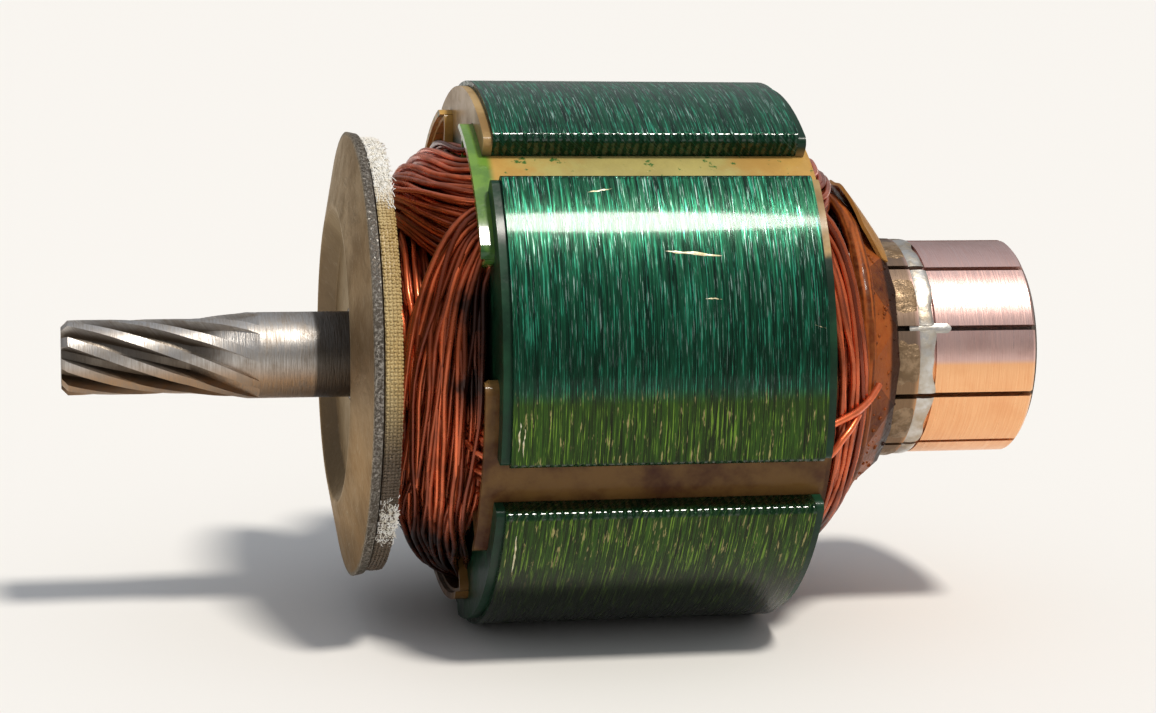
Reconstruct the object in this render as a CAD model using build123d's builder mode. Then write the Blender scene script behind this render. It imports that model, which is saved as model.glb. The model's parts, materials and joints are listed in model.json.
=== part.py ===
"""Wound armature of a small brushed motor.

The shaft lies along X, with the pinion at -X, the commutator at +X and +Z up. The origin is on the
axis, in the middle of the drive-end journal. Angles are measured about the shaft from +Y towards +Z.
All sizes are in millimetres and degrees.
"""
import os
from math import cos, radians, sin

from build123d import *

# Shaft and pinion
JOURNAL_R = 4.0
JOURNAL_LENGTH = 9.6
PLATE_SEAT_R = 4.25
SEAT_R = 4.5
SHAFT_END_GAP = 0.2
SHAFT_CHAMFER = 0.4
CENTRE_HOLE_R = 1.1
CENTRE_HOLE_DEPTH = 1.6
PINION_TEETH = 9
PINION_TIP_R = 3.45
PINION_ROOT_R = 2.3
PINION_LENGTH = 11.6
PINION_TAPER = 5.3
PINION_CHAMFER = 0.6
PINION_LEAD = 57.0
SPACE_ROOT_WIDTH = 0.7
SPACE_TIP_WIDTH = 1.5
RUN_OUT = 1.0

# Laminated core
SLOTS = 5
FIRST_SLOT = 54.0
CORE_R = 25.5
STACK_LENGTH = 28.0
SLOT_OPENING = 4.45
HEAD_THICKNESS = 2.3
STEM_WIDTH = 10.0
HUB_R = 9.6
SLOT_CORNER = 1.2
TOOTH_CORNER = 0.8
END_LAMINATION_T = 0.8
END_LAMINATION_INSET = 0.5

# Slot insulation
FIT = 0.05
WEDGE_T = 0.6
WEDGE_DRIVE_END = 2.0
WEDGE_COMMUTATOR_END = 1.0
LINER_T = 0.35
LINER_END = 1.6
SLEEVE_T = 0.7

# Coils
COIL_PITCH = 2
COIL_CLEARANCE = 0.1
HALF_GAP = 0.1
TURN_START = 2.2
DRIVE_OVERHANG = 8.3
COMMUTATOR_OVERHANG = 6.8
TURN_SLEEVE_GAP = 0.35
LAYER_BELOW_MIDDLE = 0.95
LAYER_GAP = 0.3
OUTER_TURN_INSET = 1.65
TURN_SHOULDER = 4.4
TURN_SHOULDER_DROP = 1.1
OUTER_TURN_END_HEIGHT = 2.6
STRAND_PITCH = 1.0
STRAND_GROOVE = 0.3
TURN_GAP_ANGLE = 1.2
FOOT_HEIGHT = 1.6
FOOT_SLOPE = 35.0
CROSSING_ANGLE = 6.0
CROSSING_RISE = 1.4
COIL_LAYERS = ("inner", "outer", "inner", "crossing", "outer")
LEAD_R = 0.55
LEAD_BEND = 1.0
LEAD_INSET = 0.8

# Drive-end plate and woven washer
PLATE_R = 20.7
PLATE_T = 0.8
DISH_FLOOR_R = 11.6
DISH_RIM_R = 13.8
DISH_DEPTH = 1.6
PLATE_FLARE = 1.4
PLATE_BEND = 0.7
WASHER_R = 20.3
WASHER_T = 1.6
WASHER_EDGE = 0.4
WASHER_GAP = 0.33
WEAVE_PITCH = 0.55
WEAVE_GROOVE = 0.15
WEAVE_BAND = 2.2

# Commutator
BARS = 10
TRACK_R = 10.28
RISER_HEIGHT = 0.22
RISER_LENGTH = 2.1
BAR_LENGTH = 13.7
BAR_SLOT_ANGLE = 2.8
FIRST_BAR_FROM_SLOT = 16.0
BAR_CHAMFER = 0.3
BAR_HEIGHT = 3.28
BAR_FOOT_INSET = 1.0
HOOK_TIP_DROP = 1.38
HOOK_NECK_DROP = 1.98
HOOK_DEPTH = 2.0
HUB_RIB_DROP = 0.98
HUB_RIM = 0.4
HUB_NOSE = 0.6
HUB_NOSE_DROP = 1.88
SOLDER_LENGTH = 1.7
SOLDER_DEPTH = 0.3
SOLDER_PROUD = 0.2
LEAD_SEAT_DEPTH = 0.6
LEAD_SLOT_CLEARANCE = 0.1

# Lead wrap
LEAD_LENGTH = 4.42
WRAP_T = 0.6
WRAP_LEAD_GAP = 0.25
WRAP_SHOULDER = 0.7
WRAP_SHOULDER_RISE = 0.9
WRAP_GAP = 0.12

# Stations along the shaft
journal_x0 = -JOURNAL_LENGTH / 2
plate_x = JOURNAL_LENGTH / 2
shoulder_x = plate_x + PLATE_T
run_out_x = journal_x0 + RUN_OUT
taper_x0 = journal_x0 - PINION_TAPER
pinion_x0 = taper_x0 - PINION_LENGTH
washer_x1 = shoulder_x + WASHER_T
core_x0 = washer_x1 + WASHER_GAP + DRIVE_OVERHANG
core_x1 = core_x0 + STACK_LENGTH
turns_x1 = core_x1 + COMMUTATOR_OVERHANG
bar_x0 = turns_x1 + LEAD_LENGTH
bar_x1 = bar_x0 + BAR_LENGTH
hub_x0 = bar_x0 - HUB_NOSE
hub_x1 = bar_x1 + HUB_RIM
shaft_x1 = hub_x1 - SHAFT_END_GAP

# Angles and radii that several pieces share
slot_pitch = 360 / SLOTS
bar_pitch = 360 / BARS
slot_r = CORE_R - HEAD_THICKNESS
wedge_inner_r = slot_r - FIT - WEDGE_T
liner_outer_r = wedge_inner_r - FIT
leg_margin = FIT + LINER_T + COIL_CLEARANCE
sleeve_r = SEAT_R + FIT + SLEEVE_T
inner_turn_r = sleeve_r + TURN_SLEEVE_GAP
outer_turn_r = liner_outer_r - LINER_T - OUTER_TURN_INSET
layer_r = (inner_turn_r + outer_turn_r) / 2 - LAYER_BELOW_MIDDLE
outer_layer_r = layer_r + LAYER_GAP
outer_turn_end_r = outer_layer_r + OUTER_TURN_END_HEIGHT
turn_base = END_LAMINATION_T + COIL_CLEARANCE
riser_r = TRACK_R + RISER_HEIGHT
lead_seat_r = riser_r - LEAD_SEAT_DEPTH
wrap_end_r = lead_seat_r + LEAD_R + WRAP_LEAD_GAP + WRAP_T


def slot_angle(index):
    """Angle of a slot's centre line."""
    return FIRST_SLOT + slot_pitch * index


def bar_angle(index):
    """Angle of a commutator bar's centre line."""
    return FIRST_SLOT + FIRST_BAR_FROM_SLOT + bar_pitch * index


def axial_plane(x, angle=0.0):
    """Plane across the shaft at x, whose own x axis points outwards at the angle."""
    outwards = (0, cos(radians(angle)), sin(radians(angle)))
    return Plane(origin=(x, 0, 0), x_dir=outwards, z_dir=(1, 0, 0))


def radial_plane(angle):
    """Plane through the shaft's axis: its own x is along the shaft, its own y outwards at the angle."""
    return Plane(origin=(0, 0, 0), x_dir=(1, 0, 0), z_dir=(0, -sin(radians(angle)), cos(radians(angle))))


def keep(piece, name):
    """Labels a finished piece and writes it as a STEP file."""
    piece.part.label = name
    export_step(piece.part, f"parts/{name}.step")


def wedge_outline(half_angle, offset, reach):
    """Corners of a wedge about the x axis whose sides run parallel to the half angle, moved in by offset."""
    apex = offset / sin(radians(half_angle))
    far_x = apex + reach * cos(radians(half_angle))
    far_y = reach * sin(radians(half_angle))
    return [(apex, 0), (far_x, -far_y), (far_x, far_y)]


def draw_slot(margin):
    """Draws one slot's space between two tooth stems, about the x axis, smaller by a margin all round."""
    Circle(slot_r - margin)
    Circle(HUB_R + margin, mode=Mode.SUBTRACT)
    outline = wedge_outline(slot_pitch / 2, STEM_WIDTH / 2 + margin, 2 * CORE_R)
    Polygon(*outline, align=None, mode=Mode.INTERSECT)
    fillet(vertices().sort_by(Axis.X)[-2:], SLOT_CORNER)


def draw_lamination(outer_r, bore_r):
    """Draws one lamination across the shaft, with its teeth, slots and slot openings."""
    Circle(outer_r)
    Circle(bore_r, mode=Mode.SUBTRACT)
    with BuildSketch(mode=Mode.PRIVATE) as slot:
        draw_slot(0)
        Rectangle(CORE_R, SLOT_OPENING, align=(Align.MIN, Align.CENTER))
        Circle(HUB_R, mode=Mode.SUBTRACT)
    with PolarLocations(0, SLOTS, start_angle=FIRST_SLOT):
        add(slot.sketch, mode=Mode.SUBTRACT)
    fillet(vertices().group_by(lambda corner: round(Vector(corner).length, 2))[-1], TOOTH_CORNER)


os.makedirs("parts", exist_ok=True)

# Shaft: turned blank, helical tooth spaces, and the cone on which the cutter ran out
space_flare = (SPACE_TIP_WIDTH - SPACE_ROOT_WIDTH) / (PINION_TIP_R - PINION_ROOT_R)
space_reach = JOURNAL_R + SPACE_ROOT_WIDTH
space_mouth = SPACE_ROOT_WIDTH + space_flare * (space_reach - PINION_ROOT_R)
with BuildPart() as shaft:
    with BuildSketch(radial_plane(90)):
        with BuildLine():
            Polyline(
                (pinion_x0, 0),
                (pinion_x0, PINION_TIP_R - PINION_CHAMFER),
                (pinion_x0 + PINION_CHAMFER, PINION_TIP_R),
                (taper_x0, PINION_TIP_R),
                (journal_x0, JOURNAL_R),
                (plate_x, JOURNAL_R),
                (plate_x, PLATE_SEAT_R),
                (shoulder_x, PLATE_SEAT_R),
                (shoulder_x, SEAT_R),
                (hub_x0, SEAT_R),
                (hub_x0, JOURNAL_R),
                (shaft_x1 - SHAFT_CHAMFER, JOURNAL_R),
                (shaft_x1, JOURNAL_R - SHAFT_CHAMFER),
                (shaft_x1, CENTRE_HOLE_R),
                (shaft_x1 - CENTRE_HOLE_DEPTH, 0),
                close=True,
            )
        make_face()
    revolve(axis=Axis.X)
    with BuildLine() as groove_path:
        Helix(PINION_LEAD, run_out_x - pinion_x0, PINION_TIP_R, center=(pinion_x0, 0, 0), direction=(1, 0, 0))
    with BuildSketch(axial_plane(pinion_x0)):
        with PolarLocations(0, PINION_TEETH):
            Polygon(
                (PINION_ROOT_R, -SPACE_ROOT_WIDTH / 2),
                (space_reach, -space_mouth / 2),
                (space_reach, space_mouth / 2),
                (PINION_ROOT_R, SPACE_ROOT_WIDTH / 2),
                align=None,
            )
    sweep(path=groove_path.line, is_frenet=True, mode=Mode.SUBTRACT)
    with BuildSketch(radial_plane(90)):
        with BuildLine():
            Polyline(
                (taper_x0, 0),
                (taper_x0, PINION_ROOT_R),
                (run_out_x, JOURNAL_R),
                (run_out_x, 0),
                close=True,
            )
        make_face()
    revolve(axis=Axis.X)
keep(shaft, "shaft")

# Laminated core and the fibre laminations at its ends
with BuildPart() as lamination_stack:
    with BuildSketch(axial_plane(core_x0)):
        draw_lamination(CORE_R, SEAT_R + FIT)
    extrude(amount=STACK_LENGTH)
keep(lamination_stack, "lamination_stack")

for name, x in (("drive_end_lamination", core_x0 - END_LAMINATION_T), ("commutator_end_lamination", core_x1)):
    with BuildPart() as end_lamination:
        with BuildSketch(axial_plane(x)):
            draw_lamination(CORE_R - END_LAMINATION_INSET, SEAT_R + FIT)
        extrude(amount=END_LAMINATION_T)
    keep(end_lamination, name)

# Slot liners, folded closed round the wires, and the wedges that close the slots under the tooth heads
for index in range(SLOTS):
    with BuildPart() as slot_liner:
        with BuildSketch(axial_plane(core_x0 - LINER_END, slot_angle(index))):
            draw_slot(FIT)
            Circle(liner_outer_r, mode=Mode.INTERSECT)
            with BuildSketch(mode=Mode.PRIVATE) as inside:
                draw_slot(FIT + LINER_T)
                Circle(liner_outer_r - LINER_T, mode=Mode.INTERSECT)
            add(inside.sketch, mode=Mode.SUBTRACT)
        extrude(amount=STACK_LENGTH + 2 * LINER_END)
    keep(slot_liner, f"slot_liner_{index + 1}")

    with BuildPart() as slot_wedge:
        with BuildSketch(axial_plane(core_x0 - WEDGE_DRIVE_END, slot_angle(index))):
            draw_slot(FIT)
            Circle(wedge_inner_r, mode=Mode.SUBTRACT)
        extrude(amount=WEDGE_DRIVE_END + STACK_LENGTH + WEDGE_COMMUTATOR_END)
    keep(slot_wedge, f"slot_wedge_{index + 1}")

# Insulating sleeves on the shaft, under the end turns
sleeve_spans = (
    ("drive_end_sleeve", washer_x1, core_x0 - END_LAMINATION_T),
    ("commutator_end_sleeve", core_x1 + END_LAMINATION_T, hub_x0),
)
for name, x0, x1 in sleeve_spans:
    with BuildPart() as sleeve:
        with BuildSketch(axial_plane(x0)):
            Circle(sleeve_r)
            Circle(SEAT_R + FIT, mode=Mode.SUBTRACT)
        extrude(amount=x1 - x0)
    keep(sleeve, name)


def draw_inner_turn(face_x, way, overhang):
    """Draws the section of an end turn that lies next to the shaft."""
    Polygon(
        (face_x + way * turn_base, inner_turn_r),
        (face_x + way * turn_base, layer_r),
        (face_x + way * overhang, layer_r),
        (face_x + way * overhang, inner_turn_r),
        align=None,
    )


def ridges(start, end, pitch, depth, inwards=(0, -1)):
    """Corners along an edge of a section, with a ridge for each wire or thread and grooves cut inwards."""
    start, end = Vector(start), Vector(end)
    rows = max(1, round((end - start).length / pitch))
    groove = (end - start).normalized().rotate(Axis.Z, 90) * depth
    if groove.dot(Vector(inwards)) < 0:
        groove = -groove
    corners = []
    for row in range(rows):
        corners.append(start + (end - start) * (row / rows) + groove)
        corners.append(start + (end - start) * ((row + 0.5) / rows))
    return [(corner.X, corner.Y) for corner in corners]


def draw_outer_turn(face_x, way, overhang):
    """Draws the section of an end turn outside the first layer, with rows of strands on its back."""
    base = (face_x + way * turn_base, outer_turn_r)
    shoulder = (face_x + way * TURN_SHOULDER, outer_turn_r - TURN_SHOULDER_DROP)
    end = (face_x + way * overhang, outer_turn_end_r)
    Polygon(
        (face_x + way * turn_base, outer_layer_r),
        *ridges(base, shoulder, STRAND_PITCH, STRAND_GROOVE),
        *ridges(shoulder, end, STRAND_PITCH, STRAND_GROOVE),
        (face_x + way * overhang, outer_turn_end_r - STRAND_PITCH / 2),
        (face_x + way * overhang, outer_layer_r),
        align=None,
    )


def draw_crossing(face_x, way, overhang):
    """Draws the section of the strands that pass from the outer layer to the inner one."""
    crossing_low = TURN_START + FOOT_HEIGHT + CROSSING_RISE
    Polygon(
        (face_x + way * crossing_low, inner_turn_r),
        (face_x + way * crossing_low, outer_turn_end_r),
        (face_x + way * overhang, outer_turn_end_r),
        (face_x + way * overhang, inner_turn_r),
        align=None,
    )
    chamfer(vertices(), STRAND_GROOVE)


def foot_plane(x, way, angle, side):
    """Sloping plane that a coil's end turn rises along as it leaves its slot."""
    outwards = (0, cos(radians(angle)), sin(radians(angle)))
    along = (0, -side * sin(radians(angle)), side * cos(radians(angle)))
    rise = radians(FOOT_SLOPE)
    normal = Vector(way * cos(rise), 0, 0) - Vector(*along) * sin(rise)
    return Plane(origin=(x, 0, 0), x_dir=outwards, z_dir=normal)


def make_end_turn(index, face_x, way, overhang):
    """Makes one coil's end turn at one end of the core, from its first slot to its second."""
    start = slot_angle(index) + TURN_GAP_ANGLE
    end = slot_angle(index + COIL_PITCH) - TURN_GAP_ANGLE
    middle = (start + end) / 2
    layer = COIL_LAYERS[index]
    foot_x = face_x + way * (TURN_START + FOOT_HEIGHT)
    with BuildPart() as end_turn:
        if layer != "inner":
            outer_end = end if layer == "outer" else middle - TURN_GAP_ANGLE
            with BuildSketch(radial_plane(start)):
                draw_outer_turn(face_x, way, overhang)
            revolve(axis=Axis.X, revolution_arc=outer_end - start)
        if layer != "outer":
            inner_start = start if layer == "inner" else middle + TURN_GAP_ANGLE
            with BuildSketch(radial_plane(inner_start)):
                draw_inner_turn(face_x, way, overhang)
            revolve(axis=Axis.X, revolution_arc=end - inner_start)
        if layer == "crossing":
            with BuildSketch(radial_plane(middle - CROSSING_ANGLE)):
                draw_crossing(face_x, way, overhang)
            revolve(axis=Axis.X, revolution_arc=2 * CROSSING_ANGLE)
        for slot in range(index, index + COIL_PITCH + 1):
            with BuildSketch(axial_plane(face_x, slot_angle(slot))):
                draw_slot(-COIL_CLEARANCE)
            extrude(amount=way * TURN_START, mode=Mode.SUBTRACT)
        split(bisect_by=foot_plane(foot_x, way, start, 1), keep=Keep.BOTTOM)
        split(bisect_by=foot_plane(foot_x, way, end, -1), keep=Keep.BOTTOM)
    return end_turn.part


# Coils: two legs in the slots, an end turn at each end, and two leads to the commutator
for index in range(SLOTS):
    drive_turn = make_end_turn(index, core_x0, -1, DRIVE_OVERHANG)
    commutator_turn = make_end_turn(index, core_x1, 1, COMMUTATOR_OVERHANG)
    lead_r = layer_r - LEAD_INSET if COIL_LAYERS[index] == "inner" else outer_layer_r + LEAD_INSET
    with BuildPart() as coil:
        for slot, side in ((index, Align.MIN), (index + COIL_PITCH, Align.MAX)):
            gap = HALF_GAP if side == Align.MIN else -HALF_GAP
            with BuildSketch(axial_plane(core_x0 - TURN_START, slot_angle(slot))):
                draw_slot(leg_margin)
                Circle(liner_outer_r - LINER_T - COIL_CLEARANCE, mode=Mode.INTERSECT)
                with Locations((0, gap)):
                    Rectangle(2 * CORE_R, CORE_R, align=(Align.CENTER, side), mode=Mode.INTERSECT)
            extrude(amount=STACK_LENGTH + 2 * TURN_START)
        add(drive_turn)
        add(commutator_turn)
        for bar in (2 * index, 2 * index + 1):
            with BuildLine(radial_plane(bar_angle(bar))) as lead:
                FilletPolyline(
                    (core_x1 + TURN_START, lead_r),
                    (turns_x1 + LEAD_R, lead_r),
                    (bar_x0 - LEAD_BEND, lead_seat_r),
                    (bar_x0 + RISER_LENGTH - LEAD_SLOT_CLEARANCE, lead_seat_r),
                    radius=LEAD_BEND,
                )
            with BuildSketch(Plane(origin=lead.line @ 0, z_dir=lead.line % 0)):
                Circle(LEAD_R)
            sweep(path=lead.line)
    keep(coil, f"coil_{index + 1}")

# Drive-end plate: pressed sheet with a raised ring round its dished middle
with BuildPart() as drive_end_plate:
    with BuildSketch(radial_plane(90)):
        with BuildLine() as sheet:
            FilletPolyline(
                (plate_x, PLATE_SEAT_R + FIT),
                (plate_x, DISH_FLOOR_R),
                (plate_x - DISH_DEPTH, DISH_RIM_R),
                (plate_x - DISH_DEPTH + PLATE_FLARE, PLATE_R),
                radius=PLATE_BEND,
            )
            offset(amount=PLATE_T, side=Side.RIGHT)
        make_face()
    revolve(axis=Axis.X)
keep(drive_end_plate, "drive_end_plate")

# Woven washer: ridges for the threads round its rim and on the band behind the coils that stays in view
with BuildPart() as woven_washer:
    rim_x0 = shoulder_x + WASHER_EDGE
    rim_x1 = washer_x1 - WASHER_EDGE
    band_r = WASHER_R - WASHER_EDGE
    band_end = (washer_x1, band_r - WEAVE_BAND)
    with BuildSketch(radial_plane(90)):
        Polygon(
            (shoulder_x, SEAT_R + FIT),
            (shoulder_x, band_r),
            *ridges((rim_x0, WASHER_R), (rim_x1, WASHER_R), WEAVE_PITCH, WEAVE_GROOVE),
            *ridges((washer_x1, band_r), band_end, WEAVE_PITCH, WEAVE_GROOVE, inwards=(-1, 0)),
            band_end,
            (washer_x1, SEAT_R + FIT),
            align=None,
        )
    revolve(axis=Axis.X)
keep(woven_washer, "woven_washer")


def draw_bar():
    """Draws a commutator bar's section along the shaft: riser, solder seat, brush track and hooked foot."""
    solder_x1 = bar_x0 + RISER_LENGTH + SOLDER_LENGTH
    hook_tip_r = TRACK_R - HOOK_TIP_DROP
    hook_neck_r = TRACK_R - HOOK_NECK_DROP
    foot_r = TRACK_R - BAR_HEIGHT
    Polygon(
        (bar_x0, hook_tip_r),
        (bar_x0, riser_r),
        (bar_x0 + RISER_LENGTH, riser_r),
        (bar_x0 + RISER_LENGTH, TRACK_R - SOLDER_DEPTH),
        (solder_x1, TRACK_R - SOLDER_DEPTH),
        (solder_x1, TRACK_R),
        (bar_x1 - BAR_CHAMFER, TRACK_R),
        (bar_x1, TRACK_R - BAR_CHAMFER),
        (bar_x1, hook_tip_r),
        (bar_x1 - HOOK_DEPTH, hook_neck_r),
        (bar_x1 - BAR_FOOT_INSET, foot_r),
        (bar_x0 + BAR_FOOT_INSET, foot_r),
        (bar_x0 + HOOK_DEPTH, hook_neck_r),
        align=None,
    )


bar_sweep = bar_pitch - BAR_SLOT_ANGLE
lead_slot_width = 2 * (LEAD_R + LEAD_SLOT_CLEARANCE)

# Commutator: moulded hub with a rib between each two bars, the bars, and solder on their risers
with BuildPart() as commutator_hub:
    nose_r = TRACK_R - HUB_NOSE_DROP
    rib_r = TRACK_R - HUB_RIB_DROP
    with BuildSketch(radial_plane(90)):
        with BuildLine():
            Polyline(
                (hub_x0, JOURNAL_R + FIT),
                (hub_x0, nose_r),
                (bar_x0, nose_r),
                (bar_x0, rib_r),
                (hub_x1, rib_r),
                (hub_x1, JOURNAL_R + FIT),
                close=True,
            )
        make_face()
    revolve(axis=Axis.X)
    for index in range(BARS):
        with BuildSketch(radial_plane(bar_angle(index) - bar_sweep / 2)):
            draw_bar()
        revolve(axis=Axis.X, revolution_arc=bar_sweep, mode=Mode.SUBTRACT)
keep(commutator_hub, "commutator_hub")

for index in range(BARS):
    with BuildPart() as commutator_bar:
        with BuildSketch(radial_plane(bar_angle(index) - bar_sweep / 2)):
            draw_bar()
        revolve(axis=Axis.X, revolution_arc=bar_sweep)
        with BuildSketch(axial_plane(bar_x0, bar_angle(index))):
            with Locations((lead_seat_r - lead_slot_width / 2, 0)):
                Rectangle(riser_r, lead_slot_width, align=(Align.MIN, Align.CENTER))
        extrude(amount=RISER_LENGTH, mode=Mode.SUBTRACT)
    keep(commutator_bar, f"commutator_bar_{index + 1:02d}")

with BuildPart() as riser_solder:
    for index in range(BARS):
        with BuildSketch(radial_plane(bar_angle(index) - bar_sweep / 2)):
            with Locations((bar_x0 + RISER_LENGTH, TRACK_R - SOLDER_DEPTH)):
                Rectangle(SOLDER_LENGTH, SOLDER_DEPTH + SOLDER_PROUD, align=(Align.MIN, Align.MIN))
        revolve(axis=Axis.X, revolution_arc=bar_sweep)
keep(riser_solder, "riser_solder")


def wrap_corners(inset):
    """Corners of the creased wrap: over the leads at both its ends, between them at its shoulder."""
    over_leads, between_leads = 0, 0.5
    rings = (
        (turns_x1 + WRAP_GAP, outer_turn_end_r, over_leads),
        (bar_x0 - WRAP_SHOULDER, wrap_end_r + WRAP_SHOULDER_RISE, between_leads),
        (bar_x0 - WRAP_GAP, wrap_end_r, over_leads),
    )
    corners = []
    for x, radius, turn in rings:
        for bar in range(BARS):
            plane = axial_plane(x, bar_angle(bar + turn))
            corners.append(plane.from_local_coords((radius - inset, 0, 0)))
    return corners


# Resin-soaked paper wrap over the leads, creased into triangles from the end turns to the risers
with BuildPart() as lead_wrap:
    ConvexPolyhedron(wrap_corners(0))
    ConvexPolyhedron(wrap_corners(WRAP_T), mode=Mode.SUBTRACT)
keep(lead_wrap, "lead_wrap")
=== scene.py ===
# %% [markdown]
# # A wound motor armature
# The armature lies on its side, as on a bench: a steel shaft with a helical pinion, a core of lacquered
# laminations, copper coils and a commutator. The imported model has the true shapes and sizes, so it stays as
# a fixed frame. This script adds what it leaves plain: single wires, cloth, resin and every surface's
# finish.

# %% Load the frame
import json
from collections import namedtuple
from math import cos, pi, radians, sin

import bmesh
import bpy
from mathutils import Matrix, Vector, noise


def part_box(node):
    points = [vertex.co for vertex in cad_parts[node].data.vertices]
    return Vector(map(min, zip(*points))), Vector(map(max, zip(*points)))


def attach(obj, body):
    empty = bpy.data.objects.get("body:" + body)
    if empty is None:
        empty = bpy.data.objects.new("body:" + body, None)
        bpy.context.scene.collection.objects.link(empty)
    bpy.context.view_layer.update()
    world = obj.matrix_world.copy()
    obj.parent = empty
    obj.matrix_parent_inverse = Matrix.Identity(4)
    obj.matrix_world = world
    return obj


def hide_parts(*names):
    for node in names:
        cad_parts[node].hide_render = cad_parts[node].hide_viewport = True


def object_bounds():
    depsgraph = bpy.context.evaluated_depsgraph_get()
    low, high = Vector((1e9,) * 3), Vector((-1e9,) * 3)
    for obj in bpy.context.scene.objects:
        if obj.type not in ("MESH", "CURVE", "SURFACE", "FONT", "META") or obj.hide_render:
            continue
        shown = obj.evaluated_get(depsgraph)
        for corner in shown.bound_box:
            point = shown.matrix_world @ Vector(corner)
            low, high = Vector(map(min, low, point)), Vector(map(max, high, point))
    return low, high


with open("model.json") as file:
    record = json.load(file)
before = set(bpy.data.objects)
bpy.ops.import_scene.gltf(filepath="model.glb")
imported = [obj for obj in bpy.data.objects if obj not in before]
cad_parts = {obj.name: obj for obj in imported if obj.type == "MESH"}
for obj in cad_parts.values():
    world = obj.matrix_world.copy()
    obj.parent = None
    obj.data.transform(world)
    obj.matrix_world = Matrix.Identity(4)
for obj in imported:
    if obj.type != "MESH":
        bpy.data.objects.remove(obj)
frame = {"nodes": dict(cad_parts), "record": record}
cad_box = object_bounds()
nodes = frame["nodes"]
scene = bpy.context.scene
MM = 0.001


def add_object(name, data):
    """A new object in the scene."""
    made = bpy.data.objects.new(name, data)
    scene.collection.objects.link(made)
    return made


print("loaded", len(nodes), "nodes, box in mm:", [round(side / MM, 2) for side in cad_box[1] - cad_box[0]])

# %% [markdown]
# ## The camera
# A camera can be placed by eye, or solved from points of known size. This one was solved: its direction,
# distance and lens put the shaft's ends, the core's edges and the commutator where a photographer saw them.
# The small roll turns it about its own line of sight.

# %% Place the camera
PHOTO_WIDTH_PX = 1156
FOCAL_LENGTH_PX = 2677.4
OPTICAL_AXIS_ABOVE_CENTRE_PX = 5.93
SENSOR_WIDTH_MM = 36.0
NEAREST_SEEN = 10 * MM
AIM = Vector((26.6 * MM, 0, 0))
AZIMUTH = radians(-11.714)
ELEVATION = radians(10.8)
ROLL = radians(1.412)
DISTANCE = 254.675 * MM

camera_data = bpy.data.cameras.new("camera")
camera_data.sensor_width = SENSOR_WIDTH_MM
camera_data.lens = SENSOR_WIDTH_MM * FOCAL_LENGTH_PX / PHOTO_WIDTH_PX
camera_data.shift_y = -OPTICAL_AXIS_ABOVE_CENTRE_PX / PHOTO_WIDTH_PX
camera_data.clip_start = NEAREST_SEEN
scene.camera = add_object("camera", camera_data)
turned = Matrix.Rotation(AZIMUTH, 4, "Z") @ Matrix.Rotation(pi / 2 - ELEVATION, 4, "X")
rolled = turned @ Matrix.Rotation(ROLL, 4, "Z")
scene.camera.matrix_world = Matrix.Translation(AIM) @ rolled @ Matrix.Translation((0, 0, DISTANCE))
print("lens", round(camera_data.lens, 2), "mm")

# %% [markdown]
# ## Writing node formulas as arithmetic
# Most of this object is round about one axis, so wires and streaks alike follow from a radius and an angle.
# In the node editor each plus sign is a node to place and wire. A small class that makes those nodes lets a
# formula stand in the script as it would on paper, for geometry and for shaders.

# %% Formulas made of nodes
class Formula:
    """A number that flows through a node tree."""

    def __init__(self, socket):
        self.socket = socket


def plug(value, socket):
    """Feeds a socket a formula, a socket or a plain value; a plain colour has three numbers."""
    source = value.socket if isinstance(value, Formula) else value
    if isinstance(source, bpy.types.NodeSocket):
        socket.id_data.links.new(source, socket)
    else:
        socket.default_value = (*source, 1) if socket.type == "RGBA" else source


def add_node(tree, kind, *values, **named):
    """Adds a node and returns its first output; names with a capital are sockets, the others settings."""
    node = tree.nodes.new(kind)
    for label, value in named.items():
        if label[0].islower():
            setattr(node, label, value)
    for socket, value in zip(node.inputs, values):
        plug(value, socket)
    for label, value in named.items():
        if label[0].isupper():
            plug(value, node.inputs[label.replace("_", " ")])
    return node.outputs[0]


def tree_of(*values):
    """The tree of a formula among the values."""
    return next(value.socket.id_data for value in values if isinstance(value, Formula))


def calculate(operation, *values, clamp=False):
    """One math node."""
    tree = tree_of(*values)
    return Formula(add_node(tree, "ShaderNodeMath", *values, operation=operation, use_clamp=clamp))


OPERATIONS = {"add": "ADD", "sub": "SUBTRACT", "mul": "MULTIPLY", "truediv": "DIVIDE", "pow": "POWER"}
for sign, operation in OPERATIONS.items():
    setattr(Formula, f"__{sign}__", lambda left, right, kind=operation: calculate(kind, left, right))
    setattr(Formula, f"__r{sign}__", lambda right, left, kind=operation: calculate(kind, left, right))


def clamped(value):
    """The value, held between 0 and 1."""
    return calculate("ADD", value, 0.0, clamp=True)


def between(low, high, share):
    """That share of the way from low to high."""
    return low + (high - low) * share


def rise(value, start, end):
    """A smooth step from 0 at start to 1 at end."""
    step = add_node(tree_of(value), "ShaderNodeMapRange", value, start, end, interpolation_type="SMOOTHSTEP")
    return Formula(step)


def vector(*parts):
    """Three numbers as one vector."""
    return add_node(tree_of(*parts), "ShaderNodeCombineXYZ", *parts)


def split(source):
    """The three numbers of a vector."""
    return [Formula(part) for part in add_node(source.id_data, "ShaderNodeSeparateXYZ", source).node.outputs]


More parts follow.
